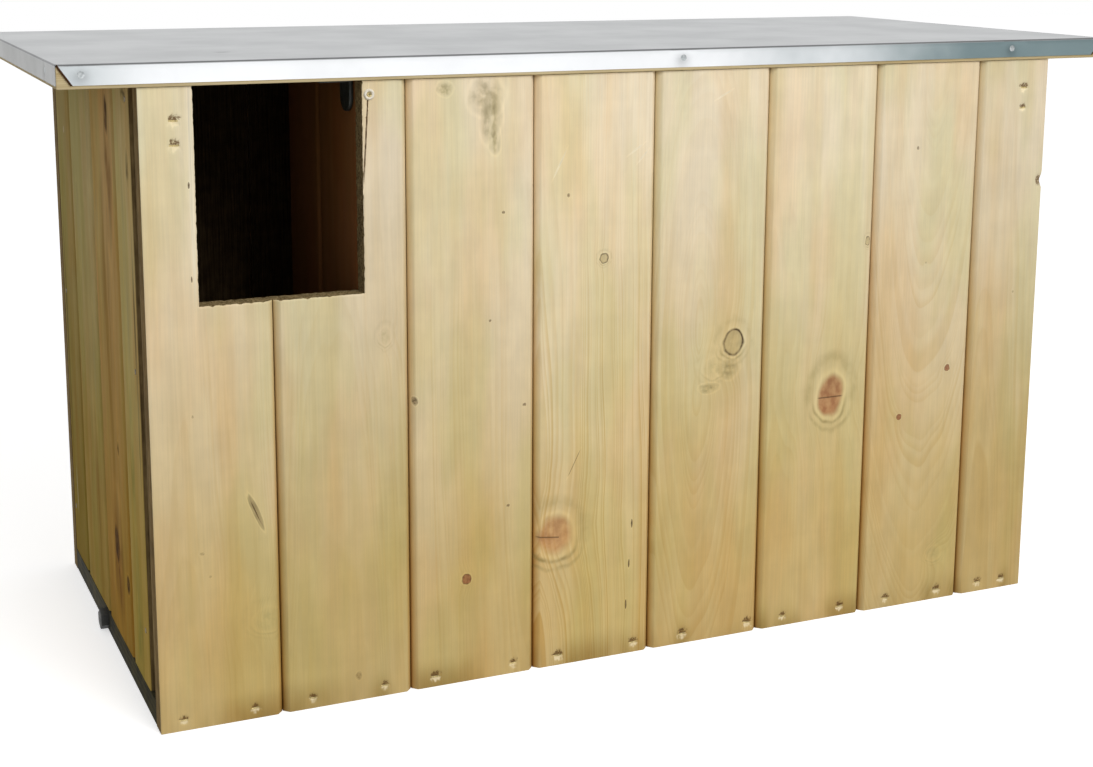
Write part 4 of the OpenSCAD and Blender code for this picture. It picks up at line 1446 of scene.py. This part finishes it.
class NESTBOX_OT_hex_screws(bpy.types.Operator):
    """Builds the two black hex screws in the floor's ends"""

    bl_idname = "nest_box.hex_screws"
    bl_label = "Hex screws"

    def execute(self, context):
        bm = bmesh.new()
        for low, high in solids_of("floor_hex_screws"):
            middle, side = (low + high) / 2, 1 if low.x > 0 else -1
            if side > 0:
                wall_x, outer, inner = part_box("floor_panel")[1].x, high.x, low.x
            else:
                wall_x, outer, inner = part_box("floor_panel")[0].x, low.x, high.x
            turn = Vector((side, 0, 0)).to_track_quat("Z", "Y").to_matrix().to_4x4()
            spin = Matrix.Rotation(math.radians(8), 4, "Z")
            # Half the width across the flats is the head's half height
            corner_r = (high.z - low.z) / 2 / math.cos(math.radians(30))
            base = Matrix.Translation(((outer + wall_x) / 2, middle.y, middle.z))
            rod(bm, corner_r, abs(outer - wall_x), 6, base @ turn @ spin)
            rim = [e for e in bm.edges if all(abs(v.co.x - outer) < TOUCH * MM for v in e.verts)]
            round_edges(bm, rim, 1.1 * MM)
            place = Matrix.Translation(((wall_x + inner) / 2, middle.y, middle.z))
            rod(bm, HEX_SHANK_R * MM, abs(wall_x - inner), 20, place @ turn)
        piece = keep_mesh(bm, "hex_head_screws", [black_steel()])
        stand_for(piece, "box", "black_steel", "floor_hex_screws")
        return {"FINISHED"}


class NESTBOX_OT_partition_screw(bpy.types.Operator):
    """Builds the screw and pale cup washer beside the entrance"""

    bl_idname = "nest_box.partition_screw"
    bl_label = "Partition screw"

    def execute(self, context):
        low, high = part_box("partition_washer")
        middle, thick = (low + high) / 2, (high.y - low.y) / MM
        radius = (high.x - low.x) / 2 / MM
        face = Vector((middle.x, high.y, middle.z))
        cup = turned([
            (radius * 0.46, 0), (radius * 0.46, -thick * 0.5), (radius * 0.62, -thick * 0.95),
            (radius * 0.78, -thick), (radius * 0.95, -thick * 0.55), (radius, 0),
        ], 32)
        bmesh.ops.holes_fill(cup, edges=cup.edges)
        washer = keep_mesh(cup, "cup_washer", [pale_plastic()], aim(face, (0, 1, 0)))
        stand_for(washer, "box", "pale_plastic", "partition_washer")
        screw_low, screw_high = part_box("partition_screw")
        mesh = screw_mesh(head_r=radius * 0.44, head_h=2.0, shank_r=2.0,
                          length=(screw_high.y - low.y) / MM,
                          dome=(low.y - screw_low.y) / MM * 0.6)
        seat = Vector((middle.x, low.y + 0.5 * MM, middle.z))
        screw = place_copies("partition_screw_steel", mesh, [aim(seat, (0, 1, 0))],
                             plated_steel())
        stand_for(screw, "box", "plated_steel", "partition_screw")
        return {"FINISHED"}


# Hinges


def leaf_mesh(node, lid_side):
    """A pressed-steel hinge leaf with rounded corners and its own rolled knuckles."""
    low, high = (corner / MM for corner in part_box(node))
    wall_leaf = [corner.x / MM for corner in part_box(node.replace("lid", "wall"))]
    pin = [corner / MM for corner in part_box("hinge_left_pin")]
    axis_y, axis_z = (pin[0].y + pin[1].y) / 2, (pin[0].z + pin[1].z) / 2
    barrel = high.y - axis_y
    way = 1 if lid_side else -1
    start = axis_z + way * (barrel + KNUCKLE_GAP)
    outer_z = high.z if lid_side else low.z
    bm = bmesh.new()
    block(bm, Vector((low.x, low.y, min(start, outer_z))),
          Vector((high.x, low.y + LEAF_T, max(start, outer_z))))
    corners = [
        e for e in bm.edges
        if abs(e.verts[0].co.y - e.verts[1].co.y) > 1 and abs(e.verts[0].co.z - outer_z) < TOUCH
    ]
    round_edges(bm, corners, 4.0, 5)
    turn = Matrix.Rotation(math.radians(90), 4, "Y")
    pitch = (wall_leaf[1] - wall_leaf[0]) / KNUCKLES
    half = (pitch - KNUCKLE_GAP) / 2
    # The webs that join plate and knuckles reach a little into the plate
    reach = axis_z + way * (barrel + KNUCKLE_GAP + 0.2)
    for index in range(1 if lid_side else 0, KNUCKLES, 2):
        x = wall_leaf[0] + (index + 0.5) * pitch
        rod(bm, barrel, 2 * half, 24, Matrix.Translation((x, axis_y, axis_z)) @ turn)
        block(bm, Vector((x - half, low.y, min(axis_z, reach))),
              Vector((x + half, low.y + LEAF_T, max(axis_z, reach))))
    round_rims(bm, 0.25)
    return bm


class NESTBOX_OT_hinges(bpy.types.Operator):
    """Builds the two butt hinges, their pins and their screws"""

    bl_idname = "nest_box.hinges"
    bl_label = "Hinges"

    def execute(self, context):
        black = black_steel()
        for side in ("left", "right"):
            for part, body in (("wall", "box"), ("lid", "lid")):
                node = f"hinge_{side}_{part}_leaf"
                piece = keep_mesh(leaf_mesh(node, part == "lid"), f"{node}_steel", [black],
                                  Matrix.Scale(MM, 4), 40)
                stand_for(piece, body, "black_steel", node)
            self.pin(side, black)
        for part, body in (("wall", "box"), ("lid", "lid")):
            node = f"hinge_{part}_screws"
            head_r, length = fixing_size(node, 1)
            mesh = screw_mesh(head_r, head_h=1.3, shank_r=SCREW_SHANK_R, length=length,
                              dome=0.25)
            matrices = [driven(low, high, 1, -1) for low, high in solids_of(node)]
            piece = place_copies(f"{node}_steel", mesh, matrices, black)
            stand_for(piece, body, "black_steel", node)
        return {"FINISHED"}

    @staticmethod
    def pin(side, material):
        """A pin with slightly rounded ends."""
        node = f"hinge_{side}_pin"
        low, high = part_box(node)
        radius, length = (high.z - low.z) / 2 / MM, (high.x - low.x) / MM
        bm = turned([(0, 0), (radius * 0.7, 0), (radius, 0.4), (radius, length - 0.4),
                     (radius * 0.7, length), (0, length)])
        start = Vector((low.x, (low.y + high.y) / 2, (low.z + high.z) / 2))
        piece = keep_mesh(bm, f"{node}_steel", [material], aim(start, (1, 0, 0)))
        stand_for(piece, "box", "black_steel", node)


# Lid


class NESTBOX_OT_roof_deck(bpy.types.Operator):
    """Builds the wooden deck under the sheet"""

    bl_idname = "nest_box.roof_deck"
    bl_label = "Roof deck"

    def execute(self, context):
        deck_wood = long_wood("planed_softwood_deck", srgb("d8c79f"), srgb("b09a6c"), "X")
        timber("roof_deck", "roof_deck_wood", deck_wood, "lid", "roof_deck", ease=1.0,
               trim_top=0.9)
        return {"FINISHED"}


def fold_down(bm, edges, centre, axis, angle, drop, steps):
    """Bends a strip of sheet round from some edges and runs it down; returns its faces."""
    before = set(bm.faces)
    last = bmesh.ops.spin(bm, geom=edges, cent=centre, axis=axis, dvec=(0, 0, 0), angle=angle,
                          steps=4)["geom_last"]
    rim = only(BMEdge, last)
    for _ in range(steps):
        grown = bmesh.ops.extrude_edge_only(bm, edges=rim)["geom"]
        rim = only(BMEdge, grown)
        bmesh.ops.translate(bm, verts=only(BMVert, grown), vec=(0, 0, -drop / steps))
    return [f for f in bm.faces if f not in before]


def nail_seats():
    """Where each nail's head lies on the sheet's folds, and the way it was driven."""
    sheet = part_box("roof_sheet")
    seats = []
    for low, high in solids_of("roof_nails"):
        for axis in (0, 1):
            place, way = (low + high) / 2, Vector((0, 0, 0))
            if low[axis] < sheet[0][axis]:
                place[axis], way[axis] = sheet[0][axis], 1
            elif high[axis] > sheet[1][axis]:
                place[axis], way[axis] = sheet[1][axis], -1
            if way.length:
                seats.append((place, way))
    return seats


class NESTBOX_OT_roof_sheet(bpy.types.Operator):
    """Builds the folded galvanised sheet with its dimples"""

    bl_idname = "nest_box.roof_sheet"
    bl_label = "Roof sheet"

    def execute(self, context):
        metal = settings("metal")
        low, high = (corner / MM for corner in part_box("roof_sheet"))
        bend = metal.bend / MM
        step = 6.0
        drop = high.z - low.z - bend
        inner_low = Vector((low.x + bend, low.y + bend, high.z))
        inner_high = Vector((high.x - bend, high.y - bend, high.z))
        size = inner_high - inner_low
        bm = bmesh.new()
        top = bmesh.ops.create_grid(bm, x_segments=round(size.x / step),
                                    y_segments=round(size.y / step), size=0.5)["verts"]
        bmesh.ops.scale(bm, vec=(size.x, size.y, 1), verts=top)
        bmesh.ops.translate(bm, vec=(inner_low + inner_high) / 2, verts=top)
        border = [e for e in bm.edges if e.is_boundary]
        sides = (
            (1, inner_low.y, (1, 0, 0), 90, (0, inner_low.y, high.z - bend)),
            (1, inner_high.y, (1, 0, 0), -90, (0, inner_high.y, high.z - bend)),
            (0, inner_low.x, (0, 1, 0), -90, (inner_low.x, 0, high.z - bend)),
            (0, inner_high.x, (0, 1, 0), 90, (inner_high.x, 0, high.z - bend)),
        )
        for along, value, axis, angle, centre in sides:
            edges = [e for e in border if all(abs(v.co[along] - value) < TOUCH for v in e.verts)]
            faces = fold_down(bm, edges, centre, axis, math.radians(angle), drop, 4)
            if along == 1:
                self.trim_ends(bm, faces, low, high)
        self.dimple(bm, low, high)
        bmesh.ops.recalc_face_normals(bm, faces=bm.faces)
        # The thickness goes inwards, so the sheet's normals have to be on its outside
        if sum(f.normal.z for f in bm.faces if abs(f.normal.z) > 0.9) < 0:
            bmesh.ops.reverse_faces(bm, faces=bm.faces)
        bmesh.ops.solidify(bm, geom=bm.faces, thickness=SHEET_T)
        piece = keep_mesh(bm, "roof_sheet_zinc", [galvanised_sheet(metal), rust_and_shade_edge()],
                          Matrix.Scale(MM, 4), 50)
        stand_for(piece, "lid", "galvanised_sheet", "roof_sheet")
        return {"FINISHED"}

    @staticmethod
    def trim_ends(bm, faces, low, high):
        """Cuts the two lower corners off a long fold, aslant from the sheet's corner, and gives
        a narrow rim along each cut the second material: rust, widened as painted shade."""
        for side, x in ((1, low.x), (-1, high.x)):
            corner = Vector((x, 0, high.z))
            aslant = Vector((-side * (high.z - low.z), 0, -FOLD_TRIM)).normalized()
            for inset in (0.0, CUT_RIM):
                live = [f for f in faces if f.is_valid]
                geom = live + [e for f in live for e in f.edges]
                geom += [v for f in live for v in f.verts]
                made = bmesh.ops.bisect_plane(
                    bm, geom=list(dict.fromkeys(geom)), plane_co=corner - inset * aslant,
                    plane_no=aslant, clear_outer=not inset, dist=0.001)["geom"]
                faces = only(BMFace, made)
            for face in faces:
                if (face.calc_center_median() - corner).dot(aslant) > -CUT_RIM:
                    face.material_index = 1

    @staticmethod
    def dimple(bm, low, high):
        """Dimples and bruises at the nails, a dent in the top, slow waves, and ends of the long
        folds that stand off a little. Painted shade along the bend, in the dent and in the dimples
        round the nails, where the zinc is also bruised, is written to an attribute."""
        wear_and_painted_light = bm.verts.layers.float.new("wear_and_painted_light")
        bend = settings("metal").bend / MM
        dents = [(place / MM, way, 6.5, 0.95) for place, way in nail_seats()]
        dents.append((Vector((*TOP_DENT, high.z)), Vector((0, 0, -1)), 6.0, 0.9))
        for centre, way, wide, deep in dents:
            near = [e for e in bm.edges if all((v.co - centre).length < 15 for v in e.verts)]
            bmesh.ops.subdivide_edges(bm, edges=near, cuts=2, use_grid_fill=True)
        for vert in bm.verts:
            place = vert.co.copy()
            end = min(place.x - low.x, high.x - place.x)
            # Painted shade along the bend
            if 0.05 < high.z - place.z < bend - 0.1:
                vert[wear_and_painted_light] = 1.0
            if place.z > high.z - 0.2:
                slow = noise.noise(Vector((place.x / 170, place.y / 120, 2)))
                edge = min(place.y - low.y, high.y - place.y, end)
                vert.co.z -= 0.22 * (1 + slow) * min(1.0, edge / 40)
            elif place.y < low.y + 0.3:
                free = min(1.0, (high.z - place.z) / 12)
                vert.co.y -= 0.8 * free * max(0.0, 1 - end / 16)
            for centre, way, wide, deep in dents:
                if abs((place - centre).dot(way)) < 0.3:
                    near = math.exp(-((place - centre).length / wide) ** 2)
                    vert.co += way * deep * near
                    # Painted shade in the dimple, where round a nail the zinc is also bruised
                    vert[wear_and_painted_light] = max(vert[wear_and_painted_light], 0.45 * near)


class NESTBOX_OT_roof_nails(bpy.types.Operator):
    """Places the nails of the folds"""

    bl_idname = "nest_box.roof_nails"
    bl_label = "Roof nails"

    def execute(self, context):
        low, high = solids_of("roof_nails")[0]
        # The sheet is hammered up round the head, so less of it shows
        head_r = 0.8 * (high.z - low.z) / 2 / MM
        mesh = nail_mesh(head_r, head_h=0.4, shank_r=NAIL_SHANK_R, length=NAIL_LENGTH, dome=0.3)
        matrices = [aim(place + way * NAIL_SUNK * MM, way) for place, way in nail_seats()]
        piece = place_copies("fold_nails", mesh, matrices, bright_zinc())
        stand_for(piece, "lid", "galvanised_sheet", "roof_nails")
        return {"FINISHED"}


class NESTBOX_OT_lid_catch(bpy.types.Operator):
    """Builds the black tongue under the lid and its screws"""

    bl_idname = "nest_box.lid_catch"
    bl_label = "Lid tongue"

    def execute(self, context):
        black = black_steel()
        piece = keep_mesh(self.bent_strap(), "lid_tongue", [black], Matrix.Scale(MM, 4))
        stand_for(piece, "lid", "black_steel", "lid_catch")
        head_r, length = fixing_size("lid_catch_screws", 2)
        mesh = screw_mesh(head_r, head_h=1.3, shank_r=SCREW_SHANK_R, length=length, dome=0.2)
        matrices = [driven(low, high, 2, 1) for low, high in solids_of("lid_catch_screws")]
        screws = place_copies("lid_tongue_screws", mesh, matrices, black)
        stand_for(screws, "lid", "black_steel", "lid_catch_screws")
        return {"FINISHED"}

    @staticmethod
    def bent_strap():
        """A strap that hangs down with a round tip and is bent level under the deck."""
        low, high = (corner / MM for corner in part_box("lid_catch"))
        near = high.x - STRAP_T
        bm = bmesh.new()
        block(bm, Vector((near, low.y, low.z)), high)
        upright = [e for e in bm.edges if abs(e.verts[0].co.z - e.verts[1].co.z) > 1]
        bmesh.ops.subdivide_edges(bm, edges=upright, cuts=1)
        for vert in bm.verts:
            if abs(vert.co.z - (low.z + high.z) / 2) < 0.1:
                vert.co.z = high.z - STRAP_T
        inner = [
            f for f in bm.faces
            if all(abs(v.co.x - near) < TOUCH and v.co.z > high.z - STRAP_T - 0.1 for v in f.verts)
        ]
        grown = bmesh.ops.extrude_face_region(bm, geom=inner)["geom"]
        bmesh.ops.translate(bm, vec=(low.x - near, 0, 0), verts=only(BMVert, grown))
        tip = [
            e for e in bm.edges
            if abs(e.verts[0].co.x - e.verts[1].co.x) > 1
            and all(abs(v.co.z - low.z) < TOUCH for v in e.verts)
        ]
        round_edges(bm, tip, (high.y - low.y) / 2 - 0.5, 8)
        round_rims(bm, 0.4)
        return bm


# Stage


def camera_turn(stage):
    """The camera's turn: it looks along yaw and pitch, rolled a little."""
    ahead = Vector((math.sin(stage.yaw), math.cos(stage.yaw), 0))
    right = Vector((math.cos(stage.yaw), -math.sin(stage.yaw), 0))
    up = Vector((0, 0, 1))
    forward = ahead * math.cos(stage.pitch) - up * math.sin(stage.pitch)
    over = ahead * math.sin(stage.pitch) + up * math.cos(stage.pitch)
    x_axis = right * math.cos(stage.roll) + over * math.sin(stage.roll)
    y_axis = over * math.cos(stage.roll) - right * math.sin(stage.roll)
    return Matrix((x_axis, y_axis, -forward)).transposed()


def stage_floor():
    """White studio paper: white to the eye, and darker to the light that it throws back."""
    material, tree = new_material("white_studio_paper")
    path = add(tree, "LightPath").outputs
    seen = add(tree, "Math", (path["Is Camera Ray"], path["Is Glossy Ray"]), operation="MAXIMUM")
    seen = add(tree, "Math", (seen, path["Is Transmission Ray"]), operation="MAXIMUM")
    shader = add(tree, "BsdfPrincipled", {
        "Base Color": add(tree, "Mix", (seen, srgb("9c9a94"), srgb("f4f4f4")), **MIXED),
        "Roughness": 0.9, "Emission Color": (1, 1, 1),
        "Emission Strength": add(tree, "Math", (seen, 0.56), **TIMES),
    })
    add(tree, "OutputMaterial", (shader,))
    bm = bmesh.new()
    bmesh.ops.create_grid(bm, x_segments=2, y_segments=2, size=9.0)
    bmesh.ops.translate(bm, verts=bm.verts, vec=(0, 0, -0.3 * MM))
    keep_mesh(bm, "studio_floor", [material])


# Ways to two grey screens, right and left of the camera, that show in metal alone
SCREENS = ((0.866, -0.5, 0.08), (-0.97, -0.2, 0.1))


def studio_world(fill):
    """A white room: white where it is seen or mirrored, soft light from all round."""
    world = bpy.data.worlds.new("white_studio")
    bpy.context.scene.world = world
    world.use_nodes = True
    tree = world.node_tree
    tree.nodes.clear()
    path = add(tree, "LightPath").outputs
    way = add(tree, "TexCoord").outputs["Generated"]
    near = [add(tree, "VectorMath", (way, side), operation="DOT_PRODUCT") for side in SCREENS]
    screen = add(tree, "MapRange", (add(tree, "Math", near, operation="MAXIMUM"),
                                    0.86, 0.98, 1.0, 0.35), **SMOOTH)
    mirrored = add(tree, "Math", (path["Is Glossy Ray"], path["Is Transmission Ray"]),
                   operation="MAXIMUM")
    lit = add(tree, "Mix", (mirrored, fill, screen))
    strength = add(tree, "Mix", (path["Is Camera Ray"], lit, 1.0))
    back = add(tree, "Background", {"Color": (1, 1, 1), "Strength": strength})
    add(tree, "OutputWorld", {"Surface": back})


def area_light(name, place, target, size, power):
    """A square soft lamp that faces a point; metal mirrors the white room and not the lamp."""
    data = bpy.data.lights.new(name, "AREA")
    data.size = size
    data.energy = power
    lamp = bpy.data.objects.new(name, data)
    lamp.location = place
    lamp.rotation_euler = (Vector(target) - Vector(place)).to_track_quat("-Z", "Y").to_euler()
    lamp.visible_glossy = False
    bpy.context.scene.collection.objects.link(lamp)


class NESTBOX_OT_stage(bpy.types.Operator):
    """Sets up the camera, the lamps, the pale floor and the white surroundings"""

    bl_idname = "nest_box.stage"
    bl_label = "Stage"

    def execute(self, context):
        stage, scene = settings("stage"), bpy.context.scene
        data = bpy.data.cameras.new("camera")
        data.sensor_width = 36
        data.lens = stage.lens
        data.shift_y = stage.shift
        camera = bpy.data.objects.new("camera", data)
        scene.collection.objects.link(camera)
        camera.location = stage.camera_place
        camera.rotation_euler = camera_turn(stage).to_euler()
        scene.camera = camera
        scene.view_settings.view_transform = "Standard"
        stage_floor()
        studio_world(stage.fill)
        area_light("key", place=(0.4, -2.35, 1.9), target=(0.0, 0.0, 0.25), size=1.6,
                   power=stage.key)
        return {"FINISHED"}


PIECES = (
    NESTBOX_OT_front_boards,
    NESTBOX_OT_back_boards,
    NESTBOX_OT_side_boards,
    NESTBOX_OT_partition,
    NESTBOX_OT_floor_and_posts,
    NESTBOX_OT_staples,
    NESTBOX_OT_side_nails,
    NESTBOX_OT_floor_screws,
    NESTBOX_OT_hex_screws,
    NESTBOX_OT_partition_screw,
    NESTBOX_OT_hinges,
    NESTBOX_OT_roof_deck,
    NESTBOX_OT_roof_sheet,
    NESTBOX_OT_roof_nails,
    NESTBOX_OT_lid_catch,
    NESTBOX_OT_stage,
)
GROUPS = {
    "nest_box_wood": NestBoxWood,
    "nest_box_boards": NestBoxBoards,
    "nest_box_metal": NestBoxMetal,
    "nest_box_stage": NestBoxStage,
}


class NESTBOX_PT_panel(bpy.types.Panel):
    """Lists the settings and the operators of the nest box"""

    bl_label = "Owl nest box"
    bl_space_type = "VIEW_3D"
    bl_region_type = "UI"
    bl_category = "Nest Box"

    def draw(self, context):
        for name in GROUPS:
            column = self.layout.column()
            group = getattr(context.scene, name)
            for title in group.bl_rna.properties.keys():
                if title not in ("rna_type", "name"):
                    column.prop(group, title)
        for piece in PIECES:
            self.layout.operator(piece.bl_idname)


def register():
    """Adds the settings, the operators and the panel."""
    for name, group in GROUPS.items():
        bpy.utils.register_class(group)
        setattr(bpy.types.Scene, name, PointerProperty(type=group))
    for item in (*PIECES, NESTBOX_PT_panel):
        bpy.utils.register_class(item)


def unregister():
    """Takes them away again, in reverse order."""
    for item in reversed((*PIECES, NESTBOX_PT_panel)):
        bpy.utils.unregister_class(item)
    for name, group in reversed(GROUPS.items()):
        delattr(bpy.types.Scene, name)
        bpy.utils.unregister_class(group)


def main():
    """Builds every piece and the stage."""
    register()
    for piece in PIECES:
        module, name = piece.bl_idname.split(".")
        getattr(getattr(bpy.ops, module), name)()


if __name__ == "__main__":
    main()
